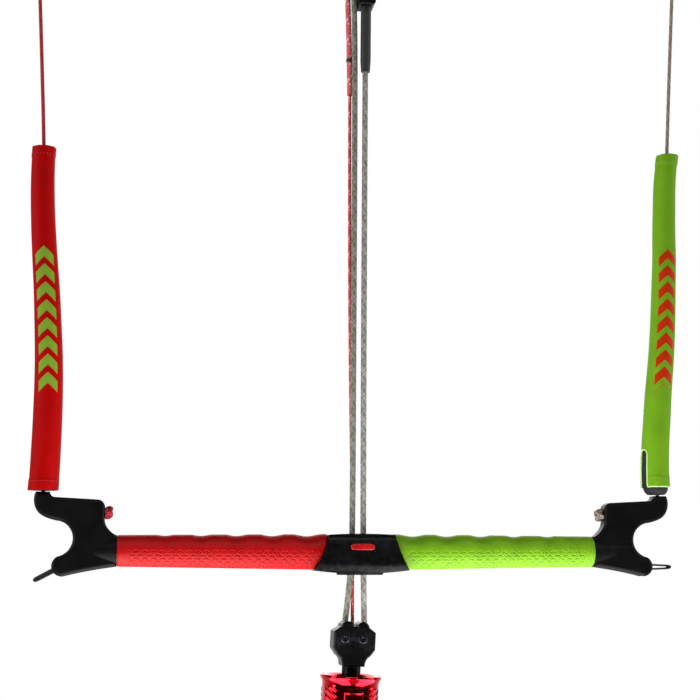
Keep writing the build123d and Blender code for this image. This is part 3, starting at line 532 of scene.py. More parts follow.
def float_shape(sections, level):
    """Middle x and radius of a float, in metres, at the given heights."""
    across, heights, radii = (np.array(column) * MM for column in zip(*sections))
    mid, half = heights.mean(), np.ptp(heights) / 2
    share, wanted = (heights - mid) / half, (level - mid) / half
    return np.polyval(np.polyfit(share, across, 4), wanted), np.polyval(np.polyfit(share, radii, 4), wanted)


def ring_points(centre_x, radius, level, turn):
    """Level ring at each height: radius may change both around and along the piece."""
    return np.stack([centre_x[:, None] + radius * np.cos(turn)[None, :],
                     radius * np.sin(turn)[None, :],
                     np.broadcast_to(level[:, None], radius.shape)], -1)


def cloth_rises(turn, level, foot, head, radius, dice):
    """Outward rise of the sleeve's cloth: hems, stitch dimples, back seam and soft drag folds."""
    from_end = np.minimum(level - foot, head - level)[:, None]
    hem = 0.35 * MM / (1 + np.exp((from_end - HEM) / (0.25 * MM)))
    around = turn[None, :] * radius
    stitched = 0.5 + 0.5 * np.cos(2 * np.pi * around / STITCH_PITCH)
    rise = hem - 0.28 * MM * stitched * np.exp(-((from_end - 0.8 * HEM) / (0.55 * MM)) ** 2)
    from_seam = np.abs((turn - np.pi / 2 + np.pi) % (2 * np.pi) - np.pi)[None, :] * radius
    rise = rise + 0.45 * MM * np.exp(-((from_seam - 1.1 * MM) / (0.9 * MM)) ** 2)
    rise = rise - 0.5 * MM * np.exp(-(from_seam / (0.45 * MM)) ** 2)
    for _ in range(7):
        bend, slope = dice.uniform(0, 2 * np.pi), dice.uniform(-90, 90)
        middle, reach = dice.uniform(foot, head), dice.uniform(16, 44) * MM
        fold = np.cos(3 * turn[None, :] + bend + slope * (level[:, None] - middle))
        rise = rise + 0.16 * MM * fold * np.exp(-((level[:, None] - middle) / reach) ** 2)
    pull = np.exp(-from_end / (7 * MM))
    return rise + 0.22 * MM * pull * np.cos(9 * turn[None, :] + dice.uniform(0, 6))


def cut_by(piece_mesh, cutter_mesh):
    """Mesh with another closed mesh cut out of it."""
    whole = bpy.data.objects.new("whole", piece_mesh)
    knife = bpy.data.objects.new("knife", cutter_mesh)
    for thing in (whole, knife):
        bpy.context.scene.collection.objects.link(thing)
    cut = whole.modifiers.new("cut", "BOOLEAN")
    cut.operation, cut.solver, cut.object = "DIFFERENCE", "EXACT", knife
    bpy.context.view_layer.update()
    result = bpy.data.meshes.new_from_object(whole.evaluated_get(bpy.context.evaluated_depsgraph_get()))
    for thing in (whole, knife):
        bpy.data.objects.remove(thing)
    result.name = piece_mesh.name
    return result


def make_cloth_threads():
    """Fine knit: two slanting thread directions with a slow change of tone along the cloth."""
    group, wanted, given = make_group(
        "cloth_threads", [("Threads", 1500.0), ("Slack", 30.0)],
        [("Height", "NodeSocketFloat"), ("Tone", "NodeSocketFloat")])
    spot = put(group, "ShaderNodeSeparateXYZ", values=(put(group, "ShaderNodeUVMap").outputs[0],))
    across, along = spot.outputs["X"], spot.outputs["Y"]
    waves = []
    for operation in ("ADD", "SUBTRACT"):
        slant = sum_of(group, operation, across, times(group, along, 0.7))
        turns = times(group, times(group, slant, wanted["Threads"]), math.pi)
        waves.append(sum_of(group, "ABSOLUTE", sum_of(group, "SINE", turns)))
    group.links.new(sum_of(group, "MULTIPLY", *waves), given["Height"])
    group.links.new(noise_at(group, place_in(group), wanted["Slack"], 5.0), given["Tone"])
    return group


def make_moulding_grain():
    """Spark-eroded mould texture: fine pits, wider soft patches and a few handling scuffs."""
    group, wanted, given = make_group(
        "moulding_grain", [("Grain", 1800.0), ("Patches", 45.0)],
        [("Height", "NodeSocketFloat"), ("Patch", "NodeSocketFloat"), ("Scuff", "NodeSocketFloat")])
    place = place_in(group)
    group.links.new(noise_at(group, place, wanted["Grain"], 2.0), given["Height"])
    group.links.new(noise_at(group, place, wanted["Patches"], 4.0), given["Patch"])
    drawn = put(group, "ShaderNodeMapping", Vector=place, Scale=(30.0, 260.0, 420.0),
                Rotation=(0.3, 0.5, 0.2))
    lines = noise_at(group, drawn.outputs[0], 1.0, 3.0)
    group.links.new(spread(group, lines, 0.62, 0.72, 0.0, 1.0), given["Scuff"])
    return group


def make_edge_wear():
    """Rubbed edges: strongest on sharp convex edges and broken up so that it never looks drawn on."""
    group, wanted, given = make_group("edge_wear", [("Reach", 0.5)], [("Worn", "NodeSocketFloat")])
    sharp = put(group, "ShaderNodeNewGeometry").outputs["Pointiness"]
    start = sum_of(group, "SUBTRACT", 0.62, times(group, wanted["Reach"], 0.1))
    edge = spread(group, sharp, start, 0.68, 0.0, 1.0)
    patchy = spread(group, noise_at(group, place_in(group), 260.0, 4.0), 0.4, 0.65, 0.0, 1.0)
    group.links.new(times(group, edge, patchy), given["Worn"])
    return group


cloth_threads = make_cloth_threads()
moulding_grain = make_moulding_grain()
edge_wear = make_edge_wear()


def float_cloth(name, dark, light, bars, foot, head):
    """Laminated stretch cloth with a plain row of slanted bars printed up its front."""
    finish, tree, sockets = start_finish(name, Specular_IOR_Level=0.05)
    cloth = shared(tree, cloth_threads, 1500.0, 60.0)
    ground = blend_colours(tree, spread(tree, cloth["Tone"], 0.3, 0.7, 0.3, 0.7), dark, light)
    spot = put(tree, "ShaderNodeSeparateXYZ", values=(put(tree, "ShaderNodeUVMap").outputs[0],)).outputs
    beside = sum_of(tree, "ABSOLUTE", spot["X"])
    slanted = sum_of(tree, "ADD", spot["Y"], times(tree, beside, 0.9))
    step = sum_of(tree, "FRACT", sum_of(tree, "DIVIDE", slanted, BAR_PITCH))
    inside = [sum_of(tree, "LESS_THAN", beside, BAR_HALF), sum_of(tree, "LESS_THAN", step, 0.6),
              sum_of(tree, "GREATER_THAN", slanted, foot), sum_of(tree, "LESS_THAN", slanted, head)]
    printed = inside[0]
    for condition in inside[1:]:
        printed = times(tree, printed, condition)
    rough = sum_of(tree, "SUBTRACT", spread(tree, cloth["Tone"], 0.2, 0.8, 0.55, 0.7),
                   times(tree, printed, 0.2))
    wire(tree, sockets, blend_colours(tree, times(tree, printed, 0.94), ground, bars), rough,
         cloth["Height"], 0.35, 0.12 * MM)
    return finish


def cell_foam(name, colour, cell):
    """Closed-cell foam: dull and pitted, with painted shade darkening the cell pits and the cell walls left
    lighter.
    """
    finish, tree, sockets = start_finish(name)
    cell_relief_shade = put(tree, "ShaderNodeTexVoronoi", Vector=place_in(tree), Scale=cell).outputs["Distance"]
    # Painted shade: the colour follows the bump relief, darker in the pits and lighter on the walls.
    wire(tree, sockets, blend_colours(tree, cell_relief_shade, colour, paler(colour, 2.2)),
         spread(tree, cell_relief_shade, 0.0, 0.8, 0.95, 0.75), cell_relief_shade, 0.5, 0.3 * MM)
    return finish


def thread_finish(name, colour):
    """Bonded sewing thread, twisted and a little shiny."""
    finish, tree, sockets = start_finish(name)
    twist = noise_at(tree, place_in(tree), 2600.0, 2.0)
    wire(tree, sockets, blend_colours(tree, twist, paler(colour, 0.5), colour),
         spread(tree, twist, 0.3, 0.7, 0.45, 0.7))
    return finish


def stitch_mesh(name, places, headings, normals, length, thickness):
    """Row of stitches: each is a short raised thread, round in section and sunk at both ends."""
    share = np.linspace(-1, 1, 7)
    turn = round_turn(6)
    sides = np.cross(headings, normals)
    lift = (thickness * (0.75 * np.sqrt(1 - 0.98 * share ** 2) - 0.35))[None, :, None]
    spine = places[:, None, :] + headings[:, None, :] * (share * length / 2)[None, :, None] \
        + normals[:, None, :] * lift
    fat = (thickness * (0.35 + 0.65 * np.sqrt(1 - share ** 2)) / 2)[None, :, None, None]
    rings = spine[:, :, None, :] + fat * (np.cos(turn)[None, None, :, None] * sides[:, None, None, :]
                                          + np.sin(turn)[None, None, :, None] * normals[:, None, None, :])
    places_all, faces = rings.reshape(-1, 3), []
    for stitch in range(len(places)):
        base = stitch * 42
        for row in range(6):
            for column in range(6):
                beside = (column + 1) % 6
                faces.append((base + row * 6 + column, base + row * 6 + beside,
                              base + row * 6 + 6 + beside, base + row * 6 + 6 + column))
        faces.append(tuple(base + column for column in range(5, -1, -1)))
        faces.append(tuple(base + 36 + column for column in range(6)))
    mesh = bpy.data.meshes.new(name)
    mesh.from_pydata(places_all.tolist(), [], faces)
    mesh.polygons.foreach_set("use_smooth", [True] * len(faces))
    mesh.update()
    return mesh


def float_stitches(name, sections, foot, head, slit):
    """Thread along both hems and both sides of the back seam."""
    places, headings, normals = [], [], []
    for level in (foot + 0.8 * HEM, head - 0.8 * HEM):
        middle, radius = (value[0] for value in float_shape(sections, np.array([level])))
        count = round(2 * np.pi * radius / STITCH_PITCH)
        for turn in round_turn(count):
            out = np.array([math.cos(turn), math.sin(turn), 0.0])
            if slit and level < 0.1 and math.cos(turn - SLIT_TURN) > 0.85:
                continue
            places.append(out * (radius + 0.12 * MM) + (middle, 0, level))
            headings.append((-math.sin(turn), math.cos(turn), 0.0))
            normals.append(out)
    for level in np.arange(foot + HEM + 2 * MM, head - HEM, STITCH_PITCH):
        middle, radius = (value[0] for value in float_shape(sections, np.array([level])))
        for side in (-1, 1):
            turn = math.pi / 2 + side * 2.3 * MM / radius
            out = np.array([math.cos(turn), math.sin(turn), 0.0])
            places.append(out * (radius + 0.3 * MM) + (middle, 0, level))
            headings.append((0.0, 0.0, 1.0))
            normals.append(out)
    return stitch_mesh(name, np.array(places), np.array(headings), np.array(normals), 2.1 * MM, 0.55 * MM)


def slit_knife(sections, foot, top):
    """Round-topped blade for the sleeve's vent slit, following the float's lower front edge."""
    share = np.linspace(0, np.pi, 18)
    rim = [(-SLIT_HALF, foot - 3 * MM)] + [(-SLIT_HALF * math.cos(s), top + SLIT_HALF * math.sin(s))
                                           for s in share] + [(SLIT_HALF, foot - 3 * MM)]
    middle, radius = (value[0] for value in float_shape(sections, np.array([foot])))
    out = np.array([math.cos(SLIT_TURN), math.sin(SLIT_TURN), 0.0])
    side = np.array([-math.sin(SLIT_TURN), math.cos(SLIT_TURN), 0.0])
    rings = [[out * depth + side * across + (middle, 0, level) for across, level in rim]
             for depth in (radius - 2.5 * MM, radius + 4 * MM)]
    return skin("slit_blade", rings, np.zeros(len(rim) + 1), np.array([0.0, 1.0]))


def slit_piping(name, sections, foot, top):
    """Pale bound edge along the sleeve's foot and round its vent slit."""
    half_turn = SLIT_HALF / float(float_shape(sections, np.array([foot]))[1][0])
    around = np.linspace(SLIT_TURN + half_turn, SLIT_TURN + 2 * np.pi - half_turn, 160)
    arch = np.linspace(0, np.pi, 26)
    turns = np.concatenate([around, np.full(30, SLIT_TURN - half_turn), SLIT_TURN - half_turn * np.cos(arch),
                            np.full(30, SLIT_TURN + half_turn)])
    levels = np.concatenate([np.full(160, foot), np.linspace(foot, top, 30), top + SLIT_HALF * np.sin(arch),
                             np.linspace(top, foot, 30)])
    middle, radius = float_shape(sections, levels)
    reach = radius - 0.1 * MM
    line = np.stack([middle + reach * np.cos(turns), reach * np.sin(turns), levels], 1)
    line = evened(np.concatenate([line, line[:1]]), 0.8 * MM)[:-1]
    return skin(name, rod(line, 0.8 * MM, 12, closed=True), np.linspace(0, 0.004, 13),
                np.arange(len(line)) * 0.8 * MM, looped=True)


def make_float(side_name, sections, foot, cloth, foam, thread, slot, seed, slit_top=None):
    dice = np.random.default_rng(seed)
    head = sections[-1][1] * MM
    turn = round_turn(FLOAT_AROUND)

    core_foot = sections[0][1] * MM
    level = np.linspace(core_foot, head, 180)
    middle, radius = float_shape(sections, level)
    shrink = np.minimum(level - core_foot, head - level)
    radius = radius - SLEEVE_WALL - 3.8 * MM * np.exp(-shrink / (2.6 * MM))
    uneven = 0.12 * MM * np.sin(5 * turn[None, :] + 60 * level[:, None])
    reach = radius[:, None] - 0.1 * MM + np.minimum(uneven, 0)
    foam_mesh = skin(f"float_foam_{side_name}", ring_points(middle, reach, level, turn),
                     np.linspace(0, 0.07, FLOAT_AROUND + 1), level)
    core = fit_piece(f"float_foam_{side_name}", foam_mesh, f"leader_set_{side_name}", foam, "black_foam",
                     f"float_core_{side_name}")

    fine = np.arange(0, HEM + 2 * MM, 0.3 * MM)
    level = np.concatenate([np.arange(foot, head, 1.0 * MM), [head], foot + fine, head - fine])
    level = np.unique(level.round(7))
    middle, radius = float_shape(sections, level)
    rise = cloth_rises(turn, level, foot, head, radius[:, None], dice)
    outer = ring_points(middle, radius[:, None] + rise, level, turn)
    lining = np.broadcast_to(radius[:, None] - SLEEVE_WALL + 0.05 * MM, rise.shape)
    inner = ring_points(middle, lining, level, turn)
    rings = np.concatenate([outer, inner[::-1]])
    front = (turn + np.pi / 2 + np.pi) % (2 * np.pi) - np.pi
    unrolled = np.append(front, front[0])[None, :] * np.concatenate([radius, radius[::-1]])[:, None]
    cover_mesh = skin(f"float_sleeve_{side_name}", rings, unrolled, np.concatenate([level, level[::-1]]),
                      looped=True)
    if slit_top:
        cover_mesh = cut_by(cover_mesh, slit_knife(sections, foot, slit_top))
    cover = fit_piece(f"float_sleeve_{side_name}", cover_mesh, f"leader_set_{side_name}", cloth, slot,
                      f"float_cover_{side_name}")
    cover.data.materials.clear()
    cover.data.materials.append(cloth)
    sewn = fit_piece(f"float_stitches_{side_name}", float_stitches(f"float_stitches_{side_name}", sections,
                                                                  foot, head, slit_top),
                     f"leader_set_{side_name}", thread, slot)
    if slit_top:
        fit_piece("float_piping_right", slit_piping("float_piping_right", sections, foot,
                                                                    slit_top),
                                  "leader_set_right", pale_piping, slot)


black_foam = cell_foam("black_foam", paint(9, 9, 10), 900.0)
red_cloth = float_cloth("red_float_cloth", paint(142, 0, 1), paint(170, 1, 2), paint(112, 152, 44),
                        139 * MM, 261 * MM)
green_cloth = float_cloth("green_float_cloth", paint(90, 138, 18), paint(112, 160, 30),
                          paint(180, 14, 8), 148 * MM, 272 * MM)
red_thread = thread_finish("red_sewing_thread", paint(200, 30, 34))
green_thread = thread_finish("green_sewing_thread", paint(132, 182, 52))
pale_piping = thread_finish("pale_green_piping", paint(190, 236, 130))
make_float("left", FLOAT_LEFT, 50.4 * MM, red_cloth, black_foam, red_thread, "red_cloth", 11)
make_float("right", FLOAT_RIGHT, 57.4 * MM, green_cloth, black_foam, green_thread, "green_cloth", 12,
           slit_top=85.4 * MM)


# ==== Grips ===================================================================================
# Each half of the bar is covered by a moulded EVA grip glued on the alloy tube. Five low finger
# bumps run along its top, and rows of small arched grooves are pressed into its lower half.
GRIP_OUTER = 206.0 * MM
GRIP_OUT_RADIUS, GRIP_IN_RADIUS = 13.0 * MM, 15.0 * MM
GRIP_DROP = 0.6 * MM
TUBE_RADIUS = 10.0 * MM
BUMP_FIRST, BUMP_PITCH = 61.0 * MM, 30.0 * MM
BUMP_MEAN, BUMP_RISE = 13.9 * MM, 1.0 * MM
TICK_PITCH, TICK_ROW = 7.3 * MM, 3.4 * MM
TICK_DEEP = 0.55 * MM


def hub_edge(level):
    """|x| of the hub's flared side, in metres, at a height on it."""
    heights = np.array([-16.0, -5.6, 4.6, 13.9]) * MM
    across = np.array([40.6, 34.8, 30.8, 28.4]) * MM
    return np.polyval(np.polyfit(heights, across, 3), np.clip(level, heights[0], heights[-1]))


def grip_mesh(name, side):
    columns = 220
    turn = round_turn(columns)
    upward, outward = np.sin(turn), np.cos(turn)
    share = np.linspace(0, 1, 380)[:, None]
    level_guess = upward[None, :] * GRIP_IN_RADIUS - GRIP_DROP
    start = hub_edge(level_guess) + 0.15 * MM
    distance = start + share * (GRIP_OUTER - 0.2 * MM - start)
    inwards = (GRIP_OUTER - distance) / (GRIP_OUTER - 30 * MM)
    radius = GRIP_OUT_RADIUS + (GRIP_IN_RADIUS - GRIP_OUT_RADIUS) * inwards
    drop = -GRIP_DROP * inwards
    fade = np.clip((196 * MM - distance) / (12 * MM), 0, 1)
    wave = BUMP_MEAN + BUMP_RISE * np.cos(2 * np.pi * (distance - BUMP_FIRST) / BUMP_PITCH) * fade
    top = np.clip((upward[None, :] - 0.35) / 0.55, 0, 1)
    top = top * top * (3 - 2 * top)
    radius = radius + top * (np.minimum(wave - drop, radius + 0.4 * MM) - radius)

    below = np.clip((0.15 - upward[None, :]) / 0.2, 0, 1)
    around = turn[None, :] * GRIP_IN_RADIUS
    row = np.round(around / TICK_ROW)
    offset = 0.5 * (row % 2)
    step = np.round(distance / TICK_PITCH - offset) + offset
    beside = distance - step * TICK_PITCH
    arch = 0.9 * MM - 0.24 / MM * beside ** 2
    away = around - row * TICK_ROW - np.sign(outward)[None, :] * arch
    tick = np.exp(-(away / (0.5 * MM)) ** 2) / (1 + np.exp((np.abs(beside) - 2.5 * MM) / (0.2 * MM)))
    clear = np.clip((distance - start - 4 * MM) / (3 * MM), 0, 1)
    clear = clear * np.clip((198 * MM - distance) / (3 * MM), 0, 1)
    radius = radius - TICK_DEEP * tick * below * clear
    end = np.minimum(distance - start, GRIP_OUTER - 0.2 * MM - distance)
    radius = radius - 0.7 * MM * np.exp(-end / (0.5 * MM))
    rings = np.stack([side * distance, outward[None, :] * radius * np.ones_like(distance),
                      drop + upward[None, :] * radius], -1)
    bore = np.stack([side * distance, outward[None, :] * TUBE_RADIUS * np.ones_like(distance),
                     upward[None, :] * TUBE_RADIUS * np.ones_like(distance)], -1)[[-1, 0]]
    along = np.concatenate([share[:, 0] * 0.17, [0.171, -0.001]])
    return skin(name, np.concatenate([rings, bore]), np.linspace(0, 0.09, columns + 1), along, looped=True)


def grip_foam(name, dark, light):
    """Moulded EVA: soft sheen, pinprick texture, paler where hands have rubbed the raised parts."""
    finish, tree, sockets = start_finish(name, Specular_IOR_Level=0.14)
    grain = shared(tree, moulding_grain, 1300.0, 70.0)
    worn = shared(tree, edge_wear, 0.6)["Worn"]
    ground = blend_colours(tree, spread(tree, grain["Patch"], 0.3, 0.7, 0.0, 1.0), dark, light)
    wire(tree, sockets, blend_colours(tree, times(tree, worn, 0.5), ground, paler(light, 1.5, 0.02)),
         spread(tree, grain["Patch"], 0.2, 0.8, 0.42, 0.6), grain["Height"], 0.3, 0.15 * MM)
    return finish


red_grip = grip_foam("red_grip_foam", paint(146, 0, 2), paint(160, 1, 4))
green_grip = grip_foam("green_grip_foam", paint(96, 142, 12), paint(110, 158, 20))
fit_piece("grip_sleeve_left", grip_mesh("grip_sleeve_left", -1), "bar", red_grip, "red_grip", "grip_left")
fit_piece("grip_sleeve_right", grip_mesh("grip_sleeve_right", 1), "bar", green_grip, "green_grip",
          "grip_right")


# ==== Hub, line guide and bar ends ============================================================
# The hub's two half shells, the rocking line guide and both winding ends are moulded in black
# glass-filled nylon with a fine matt mould texture. The shells are screwed together from the back.
BADGE_HALF, BADGE_TALL = 10.2 * MM, 2.7 * MM
BADGE_LEVEL = 3.6 * MM


def black_nylon(name, colour, low_gloss, high_gloss, grain_size):
    """Black moulded nylon: mould texture, uneven gloss, greyed edges and a few scuffs."""
    finish, tree, sockets = start_finish(name, Specular_IOR_Level=0.08)
    grain = shared(tree, moulding_grain, grain_size, 60.0)
    worn = shared(tree, edge_wear, 0.5)["Worn"]
    ground = blend_colours(tree, spread(tree, grain["Patch"], 0.35, 0.75, 0.0, 0.6), colour,
                           paler(colour, 1.6, 0.001))
    marked = sum_of(tree, "MAXIMUM", times(tree, worn, 0.3), times(tree, grain["Scuff"], 0.04))
    gloss = sum_of(tree, "ADD", spread(tree, grain["Patch"], 0.3, 0.7, low_gloss, high_gloss),
                   times(tree, grain["Scuff"], 0.1))
    wire(tree, sockets, blend_colours(tree, marked, ground, paint(72, 72, 76)), gloss, grain["Height"], 0.22,
         0.12 * MM)
    return finish


def dress(node, finish):
    """Give a carried-over CAD node its finish in every material slot."""
    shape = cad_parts[node]
    if not shape.material_slots:
        shape.data.materials.append(finish)
    for place in shape.material_slots:
        place.material = finish


satin_nylon = black_nylon("satin_black_nylon", paint(6, 6, 7), 0.26, 0.34, 1500.0)
matt_nylon = black_nylon("matt_black_nylon", paint(7, 7, 8), 0.36, 0.46, 1100.0)
for node in ("hub_front_shell", "hub_back_shell", "line_guide"):
    dress(node, satin_nylon)
for node in ("bar_end_left", "bar_end_right"):
    dress(node, matt_nylon)


def make_badge():
    """Plain red enamel inlay, domed, let into the front of the hub."""
    turn = round_turn(72)
    across = BADGE_HALF * np.sign(np.cos(turn)) * np.abs(np.cos(turn)) ** 0.45
    tall = BADGE_TALL * np.sign(np.sin(turn)) * np.abs(np.sin(turn)) ** 0.7
    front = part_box("hub_front_shell")[0].y
    rings = []
    for share, out in ((1.0, 0.6), (1.0, -0.1), (0.97, -0.3), (0.86, -0.42), (0.5, -0.5), (0.1, -0.52)):
        rings.append(np.stack([across * share, front + out * MM + 0 * turn, BADGE_LEVEL + tall * share], 1))
    return skin("hub_badge", rings, np.linspace(0, 0.06, 73), np.linspace(0, 0.01, 6))


red_enamel, enamel_tree, enamel_sockets = start_finish("red_enamel", Coat_Roughness=0.08)
enamel_grain = shared(enamel_tree, moulding_grain, 300.0, 120.0)
enamel_colour = blend_colours(enamel_tree, enamel_grain["Patch"], paint(120, 8, 12), paint(176, 18, 22))
wire(enamel_tree, enamel_sockets, enamel_colour,
     spread(enamel_tree, enamel_grain["Patch"], 0.2, 0.8, 0.2, 0.35))
fit_piece("hub_badge", make_badge(), "bar", red_enamel, "red_grip")


# ==== Tube, pins and screws ===================================================================
# The bar is a drawn alloy tube, seen only at its joints. Screws and pins are turned stainless
# steel; those in the release head are blacked and have a hexagon socket.
def turned_metal(name, colour, low_gloss, high_gloss):
    """Turned or drawn metal: fine rings of tool marks and slightly dulled patches."""
    finish, tree, sockets = start_finish(name, Metallic=1.0)
    place = place_in(tree)
    drawn = put(tree, "ShaderNodeMapping", Vector=place, Scale=(3000.0, 200.0, 3000.0))
    marks, dull = noise_at(tree, drawn.outputs[0], 1.0, 3.0), noise_at(tree, place, 180.0, 3.0)
    wire(tree, sockets, blend_colours(tree, dull, paler(colour, 0.7), colour),
         spread(tree, dull, 0.3, 0.7, low_gloss, high_gloss), marks, 0.15, 0.05 * MM)
    return finish


stainless = turned_metal("turned_stainless", paint(186, 186, 188), 0.18, 0.34)
blacked_steel = turned_metal("blacked_steel", paint(46, 46, 50), 0.28, 0.42)
drawn_alloy = turned_metal("drawn_alloy", paint(150, 152, 156), 0.3, 0.45)
black_alloy = turned_metal("black_anodised_alloy", paint(30, 30, 34), 0.34, 0.46)
for node in ("bar_tube_left", "bar_tube_right"):
    dress(node, drawn_alloy)
for node in ("hub_screws", "winder_loop_pins", "pulley_pin", "loop_pivot_pin", "finger_pin"):
    dress(node, stainless)
dress("head_pins", blacked_steel)
dress("pulley_cheeks", black_alloy)


# ==== Winder straps ===========================================================================
# Small folded webbing loops hang on the horns' pins and hold the last turn of wound line. The left
# one is pressed flat and droops; the right one stands level with its two plies apart.
STRAP_WIDE = 10.0 * MM
STRAP_REACH = 25.2 * MM


def strap_mesh(name, side, droop, ply, gap, bulge):
    """Webbing loop round the pin: a ribbed flat section swept along the folded centre line."""
    pin = Vector((side * 251.8, 0, -13.0)) * MM
    eye = 2.2 * MM + ply / 2
    bend = np.radians(np.linspace(75, 285, 22))
    middle = 0.5 * (STRAP_REACH - 4 * MM)
    half = ply / 2 + gap / 2
    upper = [(eye * 0.9, half + 2.6 * bulge), (6 * MM, half + 1.2 * bulge), (middle, half + bulge),
             (STRAP_REACH - 6 * MM, half), (STRAP_REACH - 2.4 * MM, half * 0.9)]
    tip = [(STRAP_REACH - ply / 2, half * 0.35), (STRAP_REACH - ply / 2, -half * 0.35)]
    lower = [(x, -z) for x, z in reversed(upper)]
    wrap = [(eye * math.cos(angle), eye * math.sin(angle)) for angle in bend][::-1]
    flat = np.array(upper + tip + lower + wrap)
    flat = np.concatenate([flat, flat[:1]])
    line = evened(np.concatenate([flat, np.zeros((len(flat), 1))], 1), 0.5 * MM)[:-1, :2]
    for _ in range(6):
        line = 0.5 * line + 0.25 * (np.roll(line, 1, axis=0) + np.roll(line, -1, axis=0))
    heading = np.roll(line, -1, axis=0) - np.roll(line, 1, axis=0)
    heading /= np.linalg.norm(heading, axis=1)[:, None]
    normal = np.stack([heading[:, 1], -heading[:, 0]], 1)
    columns = 44
    turn = round_turn(columns)
    wide = STRAP_WIDE / 2 * np.sign(np.cos(turn)) * np.abs(np.cos(turn)) ** 0.3
    thick = ply / 2 * np.sign(np.sin(turn)) * np.abs(np.sin(turn)) ** 0.35
    rib = 0.08 * MM * np.sin(2 * np.pi * np.arange(len(line)) / 2.6)[:, None] * np.sign(np.sin(turn))[None, :]
    out = thick[None, :] + rib
    tilt = math.radians(droop)
    across, rise = line[:, None, 0] + normal[:, None, 0] * out, line[:, None, 1] + normal[:, None, 1] * out
    turned_x = across * math.cos(tilt) + rise * math.sin(tilt)
    turned_z = rise * math.cos(tilt) - across * math.sin(tilt)
    rings = np.stack([pin.x + side * turned_x, np.broadcast_to(wide, out.shape), pin.z + turned_z], -1)
    return skin(name, rings, np.linspace(0, 0.024, columns + 1), np.arange(len(line)) * 0.5 * MM, looped=True)


def woven_black(name, colour, threads):
    """Woven nylon webbing: ribbed weave, with a painted highlight lightening the thread tops, more in random
    patches.
    """
    finish, tree, sockets = start_finish(name, Specular_IOR_Level=0.2)
    cloth = shared(tree, cloth_threads, threads, 200.0)
    # Painted highlight: the colour is lighter where the threads rise, scaled by a random tone.
    thread_top_highlight = times(tree, cloth["Height"], cloth["Tone"])
    wire(tree, sockets, blend_colours(tree, thread_top_highlight, colour, paler(colour, 2.8, 0.006)),
         spread(tree, cloth["Tone"], 0.3, 0.7, 0.55, 0.8), cloth["Height"], 0.5, 0.2 * MM)
    return finish


black_webbing = woven_black("black_webbing", paint(16, 16, 18), 900.0)
for side_name, *shape in (("left", -1, 28, 2.1 * MM, 0.0, 0.05 * MM),
                          ("right", 1, 0, 1.5 * MM, 1.2 * MM, 0.4 * MM)):
    fit_piece(f"winder_strap_{side_name}", strap_mesh(f"winder_strap_{side_name}", *shape),
              f"winder_{side_name}", black_webbing, "black_webbing", f"winder_loop_{side_name}")


# ==== Cleat, sleeve and pulley ================================================================
# Above the bar the second depower rope ends in a clam cleat; a woven sleeve is shrunk over the
# joint. The first rope turns over a plain acetal sheave between two anodised cheek plates.
WHIPPING_TURNS = 7


def sleeve_weave(name, colour):
    """Expandable braided sleeving: two crossing bands of flat monofilament, their raised tops lightened as a
    painted highlight.
    """
    finish, tree, sockets = start_finish(name)
    spot = put(tree, "ShaderNodeSeparateXYZ", values=(place_in(tree),)).outputs
    waves = []
    for operation in ("ADD", "SUBTRACT"):
        slant = sum_of(tree, operation, spot["Z"], sum_of(tree, "ADD", spot["X"], spot["Y"]))
        turns = times(tree, slant, 2 * math.pi / (2.4 * MM))
        waves.append(sum_of(tree, "ABSOLUTE", sum_of(tree, "SINE", turns)))
    height = sum_of(tree, "MAXIMUM", *waves)
    # Painted highlight: the colour is lighter on the raised band tops, following the bump.
    wire(tree, sockets, blend_colours(tree, height, colour, paler(colour, 2.5, 0.006)),
         spread(tree, height, 0.4, 1.0, 0.75, 0.5), height, 0.6, 0.3 * MM)
    return finish


def make_whipping():
    """Waxed twine wound tight round the safety line's splice."""
    low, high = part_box("safety_whipping")
    middle = (low + high) / 2
    turn = np.linspace(0, 2 * np.pi * WHIPPING_TURNS, 30 * WHIPPING_TURNS)
    level = np.linspace(low.z + 0.4 * MM, high.z - 0.4 * MM, len(turn))
    line = np.stack([middle.x + 2.75 * MM * np.cos(turn), middle.y + 2.75 * MM * np.sin(turn), level], 1)
    return skin("whipping_twine", rod(line, 0.36 * MM, 10), np.linspace(0, 0.002, 11),
                np.arange(len(turn)) * 0.6 * MM)


waxed_twine = thread_finish("black_waxed_twine", paint(26, 26, 28))
fit_piece("whipping_twine", make_whipping(), "trim_lines", waxed_twine, "black_sleeve", "safety_whipping")
dress("cleat_sleeve", sleeve_weave("black_woven_sleeving", paint(5, 5, 6)))
dress("cleat_body", satin_nylon)
grey_acetal = black_nylon("dark_acetal", paint(40, 40, 42), 0.28, 0.4, 500.0)
for node in ("pulley_sheave", "swivel_washer", "line_eyes"):
    dress(node, grey_acetal)


# ==== Release head and handle =================================================================
# The head's two shells clamp the line eyes and the swivel. Below it hangs the push-away handle, red
# anodised alloy with a rolled rim, a raised frame on its front and slanting ribs, over its spring.
RELEASE_LEAN = math.radians(3.0)
RELEASE_TOP = Vector((-5.4, 0, -58.8)) * MM
HANDLE_TOP, HANDLE_LOW = -44.5, -116.0
HANDLE_RADIUS, HANDLE_RIM, HANDLE_BORE = 24.0, 26.1, 17.0


def on_release(across, depth, height):
    """Row-frame points from the release's own axes; height is along its leaned axis."""
    sine, cosine = math.sin(RELEASE_LEAN), math.cos(RELEASE_LEAN)
    return np.stack([RELEASE_TOP.x + across * cosine + height * sine, RELEASE_TOP.y + depth,
                     RELEASE_TOP.z + height * cosine - across * sine], -1)


